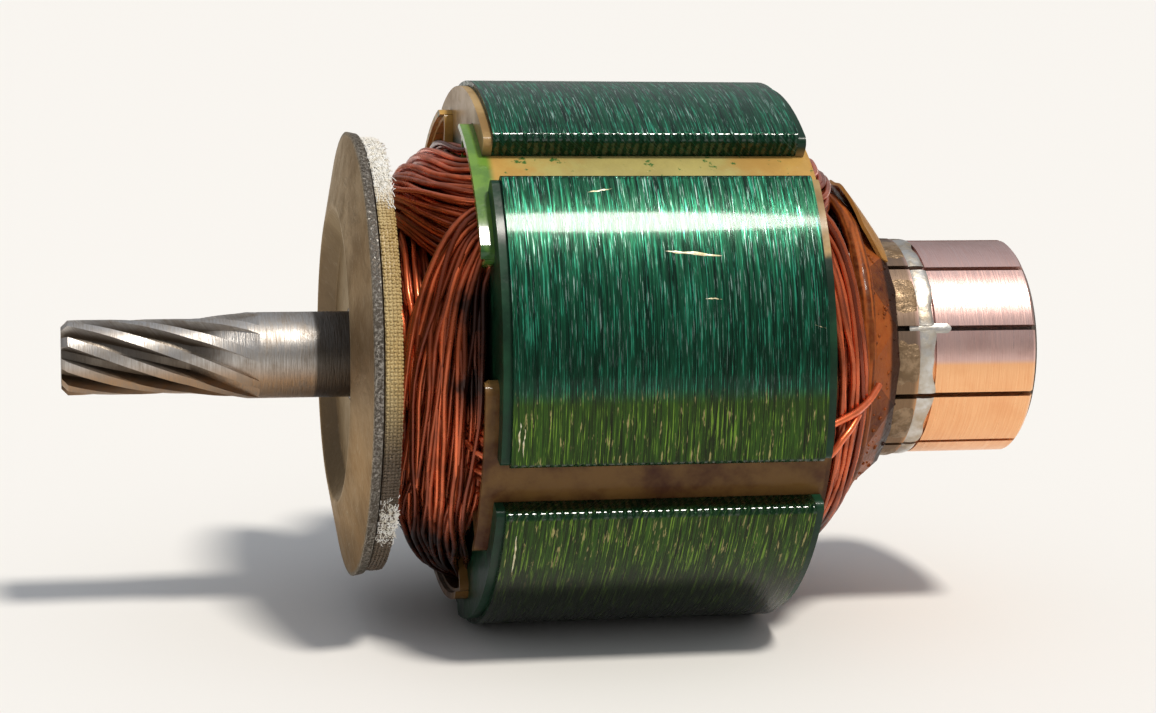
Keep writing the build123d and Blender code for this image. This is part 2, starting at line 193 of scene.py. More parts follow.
def start_tree(name, kind, inputs, outputs=()):
    """An empty tree that takes and gives numbers, or a mesh too, with its inputs and its output node."""
    tree = bpy.data.node_groups.new(name, kind)
    if kind == "GeometryNodeTree":
        tree.is_modifier = True
        for way in ("INPUT", "OUTPUT"):
            tree.interface.new_socket("Geometry", in_out=way, socket_type="NodeSocketGeometry")
    for label, value in inputs.items():
        tree.interface.new_socket(label, in_out="INPUT", socket_type="NodeSocketFloat").default_value = value
    for label in outputs:
        tree.interface.new_socket(label, in_out="OUTPUT", socket_type="NodeSocketFloat")
    source = tree.nodes.new("NodeGroupInput")
    values = {socket.name: Formula(socket) for socket in source.outputs if socket.name}
    return tree, values, tree.nodes.new("NodeGroupOutput")


print("formulas ready:", sorted(OPERATIONS))

# %% [markdown]
# ## Patterns that several finishes share
# Grinding, turning and wire drawing leave lines that run round the axis. A noise that reads the place along
# the shaft closely and the direction round it loosely makes them: each spot becomes a long streak, with no
# seam. Adding the distance from the axis to the place along it turns the streaks to rings on flat ends. A
# second group gives blotches for stains and varnish, and a third tells where a point is.

# %% Shader groups
Place = namedtuple("Place", "along depth height radius outwards")


def texture_place(tree, kind):
    """One of the texture coordinates."""
    return tree.nodes.new("ShaderNodeTexCoord").outputs[kind]


def place_parts(tree):
    """Object coordinates in millimetres, and the distance from the shaft's axis."""
    x, y, z = (part / MM for part in split(texture_place(tree, "Object")))
    return x, y, z, calculate("SQRT", y * y + z * z + 1e-6)


def make_streak_group():
    """Fine lines that run round the shaft's axis."""
    inputs = {"Lines per mm": 4.0, "Breaks round": 3.0, "Low": 0.35, "High": 0.65}
    tree, values, result = start_tree("turned_streaks", "ShaderNodeTree", inputs, ["Streaks"])
    x, y, z, radius = place_parts(tree)
    breaks = values["Breaks round"]
    place = vector((x + radius) * values["Lines per mm"], y / radius * breaks, z / radius * breaks)
    grain = add_node(tree, "ShaderNodeTexNoise", Vector=place, Scale=1.0, Detail=3.0, Roughness=0.62)
    plug(rise(Formula(grain), values["Low"], values["High"]), result.inputs[0])
    return tree


def make_blotch_group():
    """Soft spots, for stains, splashes and uneven varnish."""
    inputs = {"Spots per mm": 0.3, "Low": 0.4, "High": 0.6}
    tree, values, result = start_tree("blotches", "ShaderNodeTree", inputs, ["Blotches"])
    scale = values["Spots per mm"] / MM
    place = texture_place(tree, "Object")
    grain = add_node(tree, "ShaderNodeTexNoise", Vector=place, Scale=scale, Detail=4.0, Roughness=0.6)
    plug(rise(Formula(grain), values["Low"], values["High"]), result.inputs[0])
    return tree


def make_place_group():
    """Where a point is: millimetres along, back, up and from the axis, and how far it faces outwards."""
    tree, _, result = start_tree("place", "ShaderNodeTree", {}, Place._fields)
    x, y, z, radius = place_parts(tree)
    normal = split(texture_place(tree, "Normal"))
    outwards = (normal[1] * y + normal[2] * z) / radius
    for value, socket in zip((x, y, z, radius, outwards), result.inputs):
        plug(value, socket)
    return tree


GROUPS = {"streaks": make_streak_group(), "blotches": make_blotch_group(), "place": make_place_group()}
print("shader groups:", sorted(GROUPS))

# %% [markdown]
# ## A starting point for every finish
# Each finish is one Principled shader. The helpers below open a material, place a shared group in it, paint
# coats of colour by masks and turn a mask into a bump, so that each finish reads as a short recipe. Colours
# are linear. Places are in millimetres: along the shaft, up from its axis, or out from it.

# %% Helpers for finishes
MATERIALS = {}
MIX_SHARE, MIX_FIRST, MIX_SECOND, MIX_RESULT = 0, 6, 7, 2


class Finish:
    """A material under construction, which MATERIALS keeps under its name."""

    def __init__(self, name, **constants):
        MATERIALS[name] = bpy.data.materials.new(name)
        MATERIALS[name].use_nodes = True
        self.tree = MATERIALS[name].node_tree
        for label, value in constants.items():
            self.set(label.replace("_", " "), value)
        print("finish:", name)

    def set(self, label, value):
        """Feeds one of the shader's sockets."""
        plug(value, self.tree.nodes["Principled BSDF"].inputs[label])

    def group(self, kind, *values):
        """Places a shared group and returns its outputs."""
        node = self.tree.nodes.new("ShaderNodeGroup")
        node.node_tree = GROUPS[kind]
        for socket, value in zip(node.inputs, values):
            plug(value, socket)
        return [Formula(socket) for socket in node.outputs]

    def place(self):
        """Where the point is."""
        return Place(*self.group("place"))

    def streaks(self, lines_per_mm, breaks_round, low, high):
        """A mask of fine lines round the axis, cut off at low and high."""
        return self.group("streaks", lines_per_mm, breaks_round, low, high)[0]

    def blotches(self, spots_per_mm, low, high):
        """A mask of soft spots, cut off at low and high."""
        return self.group("blotches", spots_per_mm, low, high)[0]

    def mix(self, first, second, share):
        """Colour that goes from first to second as the share goes from 0 to 1."""
        node = self.tree.nodes.new("ShaderNodeMix")
        node.data_type = "RGBA"
        for socket, value in ((MIX_SHARE, share), (MIX_FIRST, first), (MIX_SECOND, second)):
            plug(value, node.inputs[socket])
        return node.outputs[MIX_RESULT]

    def paint(self, tint, *coats):
        """Sets the colour: a tint, then coats of other colours, each where its mask is high."""
        for coat, mask in coats:
            tint = self.mix(tint, coat, mask)
        self.set("Base Color", tint)

    def bump(self, height, depth_mm, strength=1.0):
        """Raises the surface by a mask."""
        raised = add_node(
            self.tree, "ShaderNodeBump", Strength=strength, Distance=depth_mm * MM, Height=height
        )
        self.set("Normal", raised)


core_x0, core_x1 = (corner.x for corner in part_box("lamination_stack"))
core_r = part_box("lamination_stack")[1].y
core_start, core_end = core_x0 / MM, core_x1 / MM
core_middle = (core_start + core_end) / 2
track_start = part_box("riser_solder")[0].x / MM
plate_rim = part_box("drive_end_plate")[1].y / MM
washer_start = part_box("woven_washer")[0].x / MM
print("core from", round(core_start, 2), "to", round(core_end, 2), "mm, risers end at", round(track_start, 2))

# %% [markdown]
# ## Light and floor
# Outdoor light is one small bright source and a wide soft sky. A sun lamp with a few degrees of width gives
# the narrow bright bands along the core, and a sky that is brighter overhead fills the rest. The sun's
# height comes from where the band lies on the core, halfway between the lamp and the camera.

# %% Light the stage
TOWARDS_SUN = Vector((0.22, -0.416, 0.909))
SUN_WIDTH = radians(9)
SUN_STRENGTH = 2.5
SUN_COLOUR = (1.0, 0.95, 0.87)
HORIZON_COLOUR = (0.22, 0.21, 0.20, 1)
ZENITH_COLOUR = (0.52, 0.56, 0.62, 1)
FLOOR_COLOUR = (0.86, 0.84, 0.81)
FLOOR_ROUGHNESS = 0.9
FLOOR_SHINE = 0.1
FLOOR_HALF_SIDE = 3.0

scene.view_settings.view_transform = "Standard"
sun_data = bpy.data.lights.new("sun", "SUN")
sun_data.energy = SUN_STRENGTH
sun_data.angle = SUN_WIDTH
sun_data.color = SUN_COLOUR
add_object("sun", sun_data).rotation_euler = TOWARDS_SUN.to_track_quat("Z", "Y").to_euler()

scene.world = bpy.data.worlds.new("sky")
scene.world.use_nodes = True
sky = scene.world.node_tree
ramp = add_node(sky, "ShaderNodeValToRGB", split(texture_place(sky, "Generated"))[2]).node
ramp.color_ramp.elements[0].color = HORIZON_COLOUR
ramp.color_ramp.elements[1].color = ZENITH_COLOUR
plug(ramp.outputs[0], sky.nodes["Background"].inputs["Color"])


def make_floor(height):
    """A plain pale floor under the object."""
    Finish("pale_floor", Base_Color=FLOOR_COLOUR, Roughness=FLOOR_ROUGHNESS, Specular_IOR_Level=FLOOR_SHINE)
    side = FLOOR_HALF_SIDE
    corners = [(-side, -side, height), (side, -side, height), (side, side, height), (-side, side, height)]
    mesh = bpy.data.meshes.new("floor")
    mesh.from_pydata(corners, [], [(0, 1, 2, 3)])
    mesh.materials.append(MATERIALS["pale_floor"])
    return add_object("floor", mesh)


make_floor(cad_box[0].z)
print("floor at", round(cad_box[0].z / MM, 2), "mm")

# %% [markdown]
# ## Green lacquer on ground steel
# The core is ground to size, then dipped in a clear green lacquer. What shows is the ground steel, streak
# by streak, tinted by the lacquer, and a gloss on top. So the base is partly metallic with streaks in its
# colour and bump, and a smooth coat carries the bright reflections. The walls of the slots show the edges
# of the laminations as fine ribs, where the lacquer dried in drips.
# Light is painted into the colour as well: on the lower side an olive tint with tan streaks is a painted
# reflection of the ground, pale flecks on the upper side are a painted highlight, and faces turned from the
# sun, the underside, the slot walls and the end faces get painted shade.

# %% Streaky translucent lacquer over ground laminations
LAMINATION_MM = 0.7
RIB_HEIGHT = 5.0

look = Finish("green_lacquer", Metallic=0.5, Specular_IOR_Level=0.2, Coat_Roughness=0.08)
where = look.place()
fine = look.streaks(10.0, 5.0, 0.42, 0.60)
broad = look.streaks(3.0, 2.5, 0.40, 0.62)
bright = look.streaks(7.0, 6.0, 0.56, 0.64)
# Pale flecks for the upper side: painted highlight.
painted_highlight_flecks = look.streaks(12.0, 9.0, 0.60, 0.68)
painted_ground_reflection_streaks = look.streaks(3.4, 12.0, 0.60, 0.68)
drips = look.blotches(1.0, 0.35, 0.65)
facing_up = where.height / where.radius
# Faces that look down get a painted reflection of the warm ground: olive lacquer, with tan streaks.
low_side_painted_light = rise(facing_up, 0.07, 0.0)
upper_side = 1.0 - low_side_painted_light
# Faces turned from the sun and the underside get painted shade: fewer bright streaks, and near black
# underneath.
painted_shade_below = rise(facing_up, -0.55, -0.78)
shade = rise(facing_up, 0.52, 0.10) * upper_side + painted_shade_below
wall = 1.0 - rise(where.outwards, 0.88, 0.99)
deep = look.mix((0.0015, 0.014, 0.007), (0.007, 0.010, 0.0015), low_side_painted_light)
clear = look.mix((0.007, 0.115, 0.052), (0.032, 0.090, 0.007), low_side_painted_light)
lit = look.mix((0.035, 0.34, 0.20), (0.17, 0.30, 0.030), low_side_painted_light)
look.paint(
    deep,
    (clear, (fine * 0.55 + broad * 0.45) * (1.0 - shade * 0.55)),
    (lit, bright * (0.9 - 0.3 * shade)),
    # Pale flecks on the upper side, fewer where shade is painted: painted highlight.
    ((0.45, 0.66, 0.58), painted_highlight_flecks * upper_side * (1.0 - shade * 0.7) * 0.75),
    # Tan streaks on the lower side: painted reflection of the ground.
    ((0.52, 0.42, 0.18), painted_ground_reflection_streaks * low_side_painted_light * (1.0 - painted_shade_below) * 0.6),
    # Painted shade underneath.
    ((0.005, 0.007, 0.003), painted_shade_below * 0.7),
    # The slot walls and the end faces are painted darker: painted shade.
    ((0.003, 0.030, 0.012), wall * 0.8),
)
look.set("Roughness", 0.20 + 0.14 * broad)
ribs = calculate("SINE", where.along * (2 * pi / LAMINATION_MM))
beads = rise(ribs + (drips - 0.5) * 1.8, -0.2, 0.7)
look.set("Coat Weight", between(0.15, beads, wall))
look.bump(fine * 0.5 + broad * 0.5 + (ribs + drips) * wall * RIB_HEIGHT, 0.016)

# %% Varnished tan fibre, with splashes of the core's lacquer at the drive end, and painted shade on its lower part
look = Finish("fibre", Specular_IOR_Level=0.15, Coat_Roughness=0.10)
where = look.place()
stains = look.blotches(0.22, 0.35, 0.70)
specks = look.blotches(0.7, 0.60, 0.66)
patches = look.blotches(0.45, 0.36, 0.62)
# Lower down the fibre is painted dark brown: painted shade.
low_side_painted_light = rise(where.height, 7.0, -1.0)
from_middle = calculate("ABSOLUTE", where.along - core_middle)
pale = rise(where.height, 8.0, 11.0) * rise(from_middle + stains * 5.0, 15.0, 9.0)
over_leads = rise(where.along, core_end + 2.6, core_end + 3.4)
end_of_core = rise(where.along, core_start + 0.2, core_start - 0.6)
green_end = end_of_core * rise(where.height, 6.0, 9.0) * rise(where.depth, 0.0, -3.0)
yellowish = clamped(patches * 0.45 + rise(where.height, 11.0, 19.0) * 0.65)
lacquer = look.mix((0.006, 0.065, 0.014), (0.15, 0.29, 0.034), yellowish)
look.paint(
    (0.56, 0.33, 0.085),
    ((0.40, 0.19, 0.045), over_leads),
    ((0.47, 0.40, 0.135), pale),
    # Painted shade on the lower part, with a little of the real stains.
    ((0.058, 0.017, 0.007), stains * 0.22 + low_side_painted_light * 0.78),
    ((0.015, 0.13, 0.025), specks * (1.0 - low_side_painted_light) * (1.0 - over_leads) * 0.9),
    (lacquer, green_end),
)
look.set("Roughness", 0.34 + 0.2 * stains)
look.set("Coat Weight", between(0.12, 0.9, green_end))
look.bump(stains * 0.5 + patches * 0.5, 0.10, 0.7)

# %% The fibre laminations at the ends of the core: lacquered, and bare only near the top
look = Finish("lacquered_fibre", Specular_IOR_Level=0.2, Coat_Weight=0.12, Coat_Roughness=0.12)
where = look.place()
stains = look.blotches(0.25, 0.35, 0.70)
at_drive_end = rise(where.along, core_middle + 1.0, core_middle - 1.0)
at_top = rise(where.height, 19.5, 21.0)
beside_slot = rise(where.height + stains * 2.0, 12.0, 13.0) * (1.0 - at_top)
dark = look.mix((0.003, 0.020, 0.009), (0.007, 0.048, 0.020), stains)
tan = look.mix((0.46, 0.30, 0.12), (0.26, 0.15, 0.05), stains)
look.paint(dark, (tan, between(beside_slot, at_top, at_drive_end)))
look.set("Roughness", 0.32 + 0.2 * stains)
look.bump(stains, 0.06, 0.6)

# %% [markdown]
# ## Copper, steel and solder
# Bare metals differ in colour, in how rough they are and in the lines that their making left. The bars are
# turned, so their lines run round the axis. The shaft is ground, and its tooth spaces hold old grease. The
# end plate is pressed from sheet and has shallow dents.

# %% Freshly turned copper of the commutator, with painted reflections: pink from the sky on the upper side and warmer from the ground below
look = Finish("bar_copper", Metallic=1.0)
where = look.place()
lines = look.streaks(9.0, 2.0, 0.3, 0.7)
tarnish = look.blotches(0.35, 0.40, 0.75)
# The upper side is painted pink and the lower side orange: painted reflections of the sky and the ground.
low_side_painted_light = rise(where.height / where.radius, 0.06, 0.0)
polished = look.mix((0.88, 0.60, 0.54), (0.98, 0.55, 0.28), low_side_painted_light)
drawn = look.mix((0.66, 0.40, 0.35), (0.88, 0.42, 0.195), low_side_painted_light)
riser = rise(where.along, track_start + 0.5, track_start - 0.5)
look.paint(polished, (drawn, lines * 0.6 + tarnish * 0.4), ((0.17, 0.12, 0.075), riser * 0.9))
look.set("Roughness", 0.27 + 0.12 * lines + 0.15 * riser)
look.bump(lines, 0.012)

# %% Tinned joints: bright, soft and a little lumpy
look = Finish("solder", Metallic=1.0)
lumps = look.blotches(0.8, 0.3, 0.7)
flux = look.blotches(0.35, 0.45, 0.62)
look.paint((0.68, 0.66, 0.63), ((0.56, 0.50, 0.41), lumps), ((0.44, 0.33, 0.21), flux * 0.6))
look.set("Roughness", 0.34 + 0.2 * lumps)
look.bump(lumps, 0.025)

# %% Ground shaft steel, with grease in the tooth spaces of the pinion, a painted warm reflection on its lower side and a painted shadow of the end plate next to it
look = Finish("ground_steel", Metallic=1.0)
where = look.place()
lines = look.streaks(8.0, 2.5, 0.3, 0.7)
stains = look.blotches(0.5, 0.42, 0.70)
# The lower side is painted tan: painted reflection of the warm ground.
low_side_painted_light = rise(where.height / where.radius, 0.1, -0.5)
in_space = rise(where.radius, 3.25, 2.55) * rise(where.along, -4.0, -5.5)
# A dark band next to the end plate is the plate's shadow, painted into the colour.
painted_plate_shadow = rise(where.along, 1.1, 1.5)
look.paint(
    (0.56, 0.535, 0.51),
    ((0.40, 0.245, 0.135), low_side_painted_light),
    ((0.32, 0.26, 0.205), lines * 0.5 + stains * 0.4),
    ((0.13, 0.105, 0.08), in_space * 0.88),
    ((0.075, 0.062, 0.05), painted_plate_shadow * 0.88),
)
look.set("Roughness", 0.33 + 0.14 * lines + 0.1 * stains)
look.bump(lines + stains * 0.5, 0.012)

# %% Pressed sheet with shallow dents, a warm oil film and a rough sheared rim, with painted shade towards the bottom and in the recessed dish
look = Finish("pressed_steel", Metallic=1.0, Specular_Tint=(1.0, 0.88, 0.70))
where = look.place()
dents = look.blotches(0.28, 0.30, 0.72)
film = look.blotches(0.09, 0.40, 0.65)
grain = look.blotches(4.0, 0.40, 0.68)
scuffs = look.streaks(3.0, 14.0, 0.55, 0.72)
# Towards the bottom the sheet is painted warmer and darker: painted shade.
low_side_painted_light = rise(where.height, 2.0, -8.0)
# The recessed dish is painted darker: painted shade.
dish_painted_shade = rise(where.radius, plate_rim - 5.0, plate_rim - 8.0)
sheared = rise(where.radius, plate_rim - 0.5, plate_rim - 0.15)
look.paint(
    (0.26, 0.19, 0.125),
    ((0.27, 0.165, 0.08), low_side_painted_light),
    ((0.17, 0.105, 0.055), film * 0.8),
    ((0.36, 0.30, 0.23), scuffs * 0.5),
    ((0.15, 0.11, 0.07), dish_painted_shade * 0.8),
    (look.mix((0.10, 0.085, 0.07), (0.38, 0.35, 0.31), grain), sheared),
)
look.set("Roughness", 0.38 + 0.14 * dents)
look.bump(dents + scuffs * 0.2 + grain * sheared, 0.10, 0.7)

# %% [markdown]
# ## Enamel, resin, moulding and cloth
# Magnet wire is copper under a red-brown enamel, and its colour reads a number that is stored on each strand:
# a tone that differs at random from wire to wire, made lower on the inner strands as painted shade. The resin
# over the leads is dark amber, glossy and uneven, with painted shade on its folds and by the risers. The
# washer is cream glass cloth with matt threads, with painted light on its upper part and painted shade below.
# The other finishes are plain: two tones of one colour that follow one mask.

# %% Copper wire under red-brown enamel, with its own tone on each strand, darker with varnish in places and with painted shade on the wires underneath
look = Finish("enamelled_wire", Metallic=0.7, Coat_Weight=0.3, Coat_Roughness=0.08)
where = look.place()
stored = add_node(look.tree, "ShaderNodeAttribute", attribute_name="tone").node
tone = Formula(stored.outputs["Fac"]) ** 0.8
varnish = look.blotches(0.30, 0.40, 0.70)
near_core = rise(where.along, core_start - 6.0, core_start - 2.5) * rise(where.along, 30.0, 28.0)
halfway_up = rise(where.height, -4.0, 0.0) * rise(where.height, 11.0, 7.0)
# Wires low down are painted darker: painted shade.
painted_shade_below = rise(where.height, -11.0, -17.0)
varnish_and_painted_shade = clamped(varnish * 0.5 + near_core * halfway_up * 0.85 + painted_shade_below * 0.8)
look.paint((0.11, 0.016, 0.006), ((1.0, 0.21, 0.07), tone), ((0.030, 0.008, 0.004), varnish_and_painted_shade))
look.set("Roughness", 0.26 + 0.14 * varnish)

# %% Brown varnished paper and resin over the leads; each fold of the paper gets painted light and shade by the way it faces, and the paper next to the risers is painted dark as shade in the gap
look = Finish("resin_wrap", Specular_IOR_Level=0.10, Coat_Weight=0.08, Coat_Roughness=0.07)
where = look.place()
stains = look.blotches(0.35, 0.35, 0.70)
grain = look.blotches(2.2, 0.3, 0.7)
# Each fold gets a lighter or darker tone by the way it faces: painted light and shade on the folds.
facing = texture_place(look.tree, "Normal")
folds = add_node(look.tree, "ShaderNodeTexNoise", Vector=facing, Scale=2.8, Detail=0.0)
painted_fold_shade = rise(Formula(folds), 0.36, 0.64)
# The paper next to the risers is painted near black: painted shade in the gap.
painted_gap_shade_by_risers = rise(where.along, track_start - 3.7, track_start - 3.2)
look.paint(
    (0.42, 0.10, 0.020),
    ((0.060, 0.011, 0.004), painted_fold_shade * 0.75 + stains * 0.25),
    ((0.42, 0.16, 0.035), grain * 0.18),
    ((0.012, 0.006, 0.004), painted_gap_shade_by_risers * 0.9),
)
look.set("Roughness", 0.26 + 0.25 * grain)
look.bump(grain * 0.5 + stains * 0.5, 0.05, 0.8)

# %% Cream glass cloth: golden with varnish by the coils, white at the top where it is torn and where a highlight is painted, lighter above and brown below as painted light and shade
look = Finish("woven_cloth", Sheen_Weight=0.1)
where = look.place()
soaked = look.blotches(0.16, 0.40, 0.66)
fibres = look.blotches(3.0, 0.3, 0.7)
# Lighter above and brown below: painted light and shade.
painted_light_upper = rise(where.height, -7.0, 3.0)
# White at the top: torn cloth, and a painted highlight.
torn_and_painted_highlight = rise(where.height, 15.0, 18.0)
by_coils = rise(where.along, washer_start + 0.3, washer_start + 1.5)
dry = look.mix((0.14, 0.10, 0.065), (0.58, 0.45, 0.22), painted_light_upper)
varnished = look.mix((0.075, 0.046, 0.022), (0.44, 0.28, 0.08), painted_light_upper)
look.paint(
    dry,
    (varnished, clamped(soaked * 0.45 + by_coils * 0.5 + fibres * 0.15)),
    ((0.93, 0.91, 0.86), torn_and_painted_highlight * 0.85),
)
look.set("Roughness", 0.60 - 0.3 * soaked)
look.bump(fibres, 0.03)

# %% Plain finishes
def make_plain(name, mask, first, second, roughness, bump_mm=0.0, **constants):
    """Two tones and roughnesses that follow one mask: streaks if it has four numbers, else blotches."""
    look = Finish(name, **constants)
    pattern = look.streaks(*mask) if len(mask) == 4 else look.blotches(*mask)
    look.paint(first, (second, pattern))
    look.set("Roughness", between(*roughness, pattern))
    if bump_mm:
        look.bump(pattern, bump_mm)


PLAIN_FINISHES = {
    "moulding": ((5.0, 3.0, 0.3, 0.7), (0.030, 0.022, 0.016), (0.085, 0.065, 0.045), (0.42, 0.62), 0.02),
    "sleeve": ((0.4, 0.35, 0.7), (0.36, 0.22, 0.10), (0.20, 0.11, 0.05), (0.5, 0.7)),
    "loose_fibres": ((1.5, 0.35, 0.7), (0.93, 0.92, 0.89), (0.78, 0.72, 0.60), (0.8, 0.8)),
    "flux": ((0.9, 0.35, 0.65), (0.34, 0.23, 0.135), (0.19, 0.12, 0.062), (0.36, 0.56), 0.08),
    "bare_metal": ((1.2, 0.35, 0.65), (0.80, 0.76, 0.58), (0.55, 0.47, 0.26), (0.35, 0.55)),
}
PLAIN_CONSTANTS = {
    "loose_fibres": {"Sheen_Weight": 0.3}, "flux": {"Metallic": 0.6}, "bare_metal": {"Metallic": 0.4},
}
for name, recipe in PLAIN_FINISHES.items():
    make_plain(name, *recipe, **PLAIN_CONSTANTS.get(name, {}))

# %% Dress the CAD nodes
for entry in frame["record"]["subparts"]:
    slots = nodes[entry["node"]].data.materials
    slots.clear()
    slots.append(MATERIALS[entry["material_slot"]])
for end_lamination in ("drive_end_lamination", "commutator_end_lamination"):
    nodes[end_lamination].data.materials[0] = MATERIALS["lacquered_fibre"]

# %% [markdown]
# ## Coils, wire by wire
# A coil is some hundred turns of one wire. Each runs along a slot, arches over the end of the core to the
# slot two places on, comes back, and arches over the other end. A striped texture would have no depth, so a
# Geometry Nodes tree draws the turns by rule: each has a place in its slot, across and in depth, and the
# same two numbers give its place in the arch. A slow noise lets the turns wander and cross as hand-wound
# ones do.

# %% Helpers for trees
DRIFT_BETWEEN_STRANDS = 3.71
DRIFT_GAIN = 3.2


def name_points(tree, geometry, domain, label, value):
    """Stores a number on each element under a name."""
    return add_node(tree, "GeometryNodeStoreNamedAttribute", geometry, Name=label, Value=value, domain=domain)


def random_number(identity, seed):
    """A number from 0 to 1 that belongs to an element."""
    drawn = add_node(tree_of(identity), "FunctionNodeRandomValue", ID=identity, Seed=seed).node
    return Formula(drawn.outputs[1])


def wander(identity, along, seed):
    """A slow drift from about -1 to 1 along each strand, different on each."""
    place = vector(identity * DRIFT_BETWEEN_STRANDS + seed, along, seed * 1.3)
    drift = add_node(tree_of(identity), "ShaderNodeTexNoise", Vector=place, Scale=1.0, Detail=1.0)
    return (Formula(drift) - 0.5) * DRIFT_GAIN


def round_axis(x, radius, angle):
    """A vector to a place along the shaft, at a distance from its axis and an angle round it."""
    return vector(x, radius * calculate("COSINE", angle), radius * calculate("SINE", angle))


def make_tubes(tree, curves, radius, sides):
    """Turns curves into round wires; returns the mesh."""
    profile = add_node(tree, "GeometryNodeCurvePrimitiveCircle", Resolution=sides, Radius=radius)
    return add_node(tree, "GeometryNodeCurveToMesh", curves, profile, Fill_Caps=True)


def end_tree(tree, geometry, finish, result):
    """Ends a tree with real geometry, smooth shading and one finish."""
    real = add_node(tree, "GeometryNodeRealizeInstances", geometry)
    smooth = add_node(tree, "GeometryNodeSetShadeSmooth", real)
    plug(add_node(tree, "GeometryNodeSetMaterial", smooth, Material=MATERIALS[finish]), result.inputs[0])
    return tree


def scatter_lines(tree, count, points):
    """Makes that many curves of that many points; returns them and the number of each."""
    spots = add_node(tree, "GeometryNodeMeshLine", Count=count)
    line = add_node(tree, "GeometryNodeCurvePrimitiveLine")
    fine_line = add_node(tree, "GeometryNodeResampleCurve", Curve=line, Count=points)
    copies = add_node(tree, "GeometryNodeInstanceOnPoints", Points=spots, Instance=fine_line)
    index = add_node(tree, "GeometryNodeInputIndex")
    numbered = name_points(tree, copies, "INSTANCE", "strand", index)
    strand = add_node(tree, "GeometryNodeInputNamedAttribute", Name="strand")
    return add_node(tree, "GeometryNodeRealizeInstances", numbered), Formula(strand)


def grow(name, tree, carrier=None, **sizes):
    """Runs a geometry tree with these sizes, on a carrier if it needs one, and keeps the mesh."""
    piece = add_object(name, carrier or bpy.data.meshes.new(name))
    modifier = piece.modifiers.new("nodes", "NODES")
    modifier.node_group = tree
    for item in tree.interface.items_tree:
        label = item.name.replace(" ", "_")
        if item.in_out == "INPUT" and label in sizes:
            modifier[item.identifier] = sizes[label]
    depsgraph = bpy.context.evaluated_depsgraph_get()
    mesh = bpy.data.meshes.new_from_object(piece.evaluated_get(depsgraph), depsgraph=depsgraph)
    piece.modifiers.remove(modifier)
    piece.data = mesh
    return piece


def align(tree, axis, direction, pivot="AUTO", **turned):
    """A rotation that points one of an instance's axes in a direction."""
    return add_node(
        tree, "FunctionNodeAlignRotationToVector", Vector=direction, axis=axis, pivot_axis=pivot, **turned
    )


print("tree helpers ready")

# %% The tree that winds one coil
SLOT_PITCH = 2 * pi / 5
FIRST_SLOT = radians(54)
STEM_HALF_WIDTH = 5.5 * MM
SLOT_INNER_R = 10.6 * MM
SLOT_OUTER_R = 21.7 * MM
SLOT_LEFT_BEHIND = 0.9
INNER_TURN_R = 5.9 * MM
LAYER_R = 12.1 * MM
LAYER_CHANGE = (0.36, 0.64)
OUTER_TURN_R = 20.4 * MM
DRIVE_TURN_DROP = 5.5 * MM
COMMUTATOR_TURN_DROP = 4.4 * MM
TURN_DROP_POWER = 2.2
TURN_BASE = 1.1 * MM
ARCH_POWER = 0.80
ARCH_POINTS = 34
STRAND_SIDES = 5
INNERMOST_PAINTED_SHADE = 0.45
DRIFT_ALONG_ARCH = 4.0
DRIFT_BETWEEN_ENDS = 9.0
ACROSS_GAIN = 1.4

inputs = {
    "Rows": 12, "Columns": 10, "Wire Radius": 0.3 * MM, "First Slot": 0.0, "Second Slot": 1.0,
    "First Gap": 0.0, "Second Gap": 0.0, "First Layer": 1.0, "Second Layer": 1.0,
    "Drive Face": 0.0, "Drive Overhang": 8 * MM, "Commutator Face": 1.0, "Commutator Overhang": 7 * MM,
    "Looseness": 0.10, "Seed": 1.0,
}
tree, values, result = start_tree("coil_strands", "GeometryNodeTree", inputs)
rows, columns, seed, wire_r = (values[label] for label in ("Rows", "Columns", "Seed", "Wire Radius"))
lines, strand = scatter_lines(tree, rows * columns, 2 * ARCH_POINTS)
step = Formula(tree.nodes.new("GeometryNodeSplineParameter").outputs["Index"])

# Each strand's half turn at the drive end, then its half turn back at the commutator end
at_commutator = calculate("GREATER_THAN", step, ARCH_POINTS - 0.5)
share = (step - at_commutator * ARCH_POINTS) / (ARCH_POINTS - 1)
share = between(share, 1.0 - share, at_commutator)
cosine, sine = calculate("COSINE", share * pi), calculate("SINE", share * pi)
along = 0.5 - 0.5 * calculate("SIGN", cosine) * calculate("ABSOLUTE", cosine) ** ARCH_POWER
reach = calculate("MAXIMUM", sine, 0.0) ** ARCH_POWER

# A strand's place in its bundle, in depth and across, with a slow wander over the arch
depth = (calculate("FLOOR", strand / columns) + random_number(strand, seed)) / rows
across = (calculate("FLOORED_MODULO", strand, columns) + random_number(strand, seed + 1.0)) / columns
looseness = values["Looseness"] * reach
path = share * DRIFT_ALONG_ARCH + at_commutator * DRIFT_BETWEEN_ENDS
depth = clamped(depth + looseness * wander(strand, path, seed + 2.0))
across = clamped(across + looseness * ACROSS_GAIN * wander(strand, path, seed + 5.0))

# In the slot
slot_r = between(SLOT_INNER_R, SLOT_OUTER_R, depth)
half_slot = SLOT_PITCH / 2 - calculate("ARCSINE", STEM_HALF_WIDTH / slot_r)
first = values["First Slot"] + between(half_slot, values["First Gap"], across)
second = values["Second Slot"] - between(half_slot, values["Second Gap"], across)

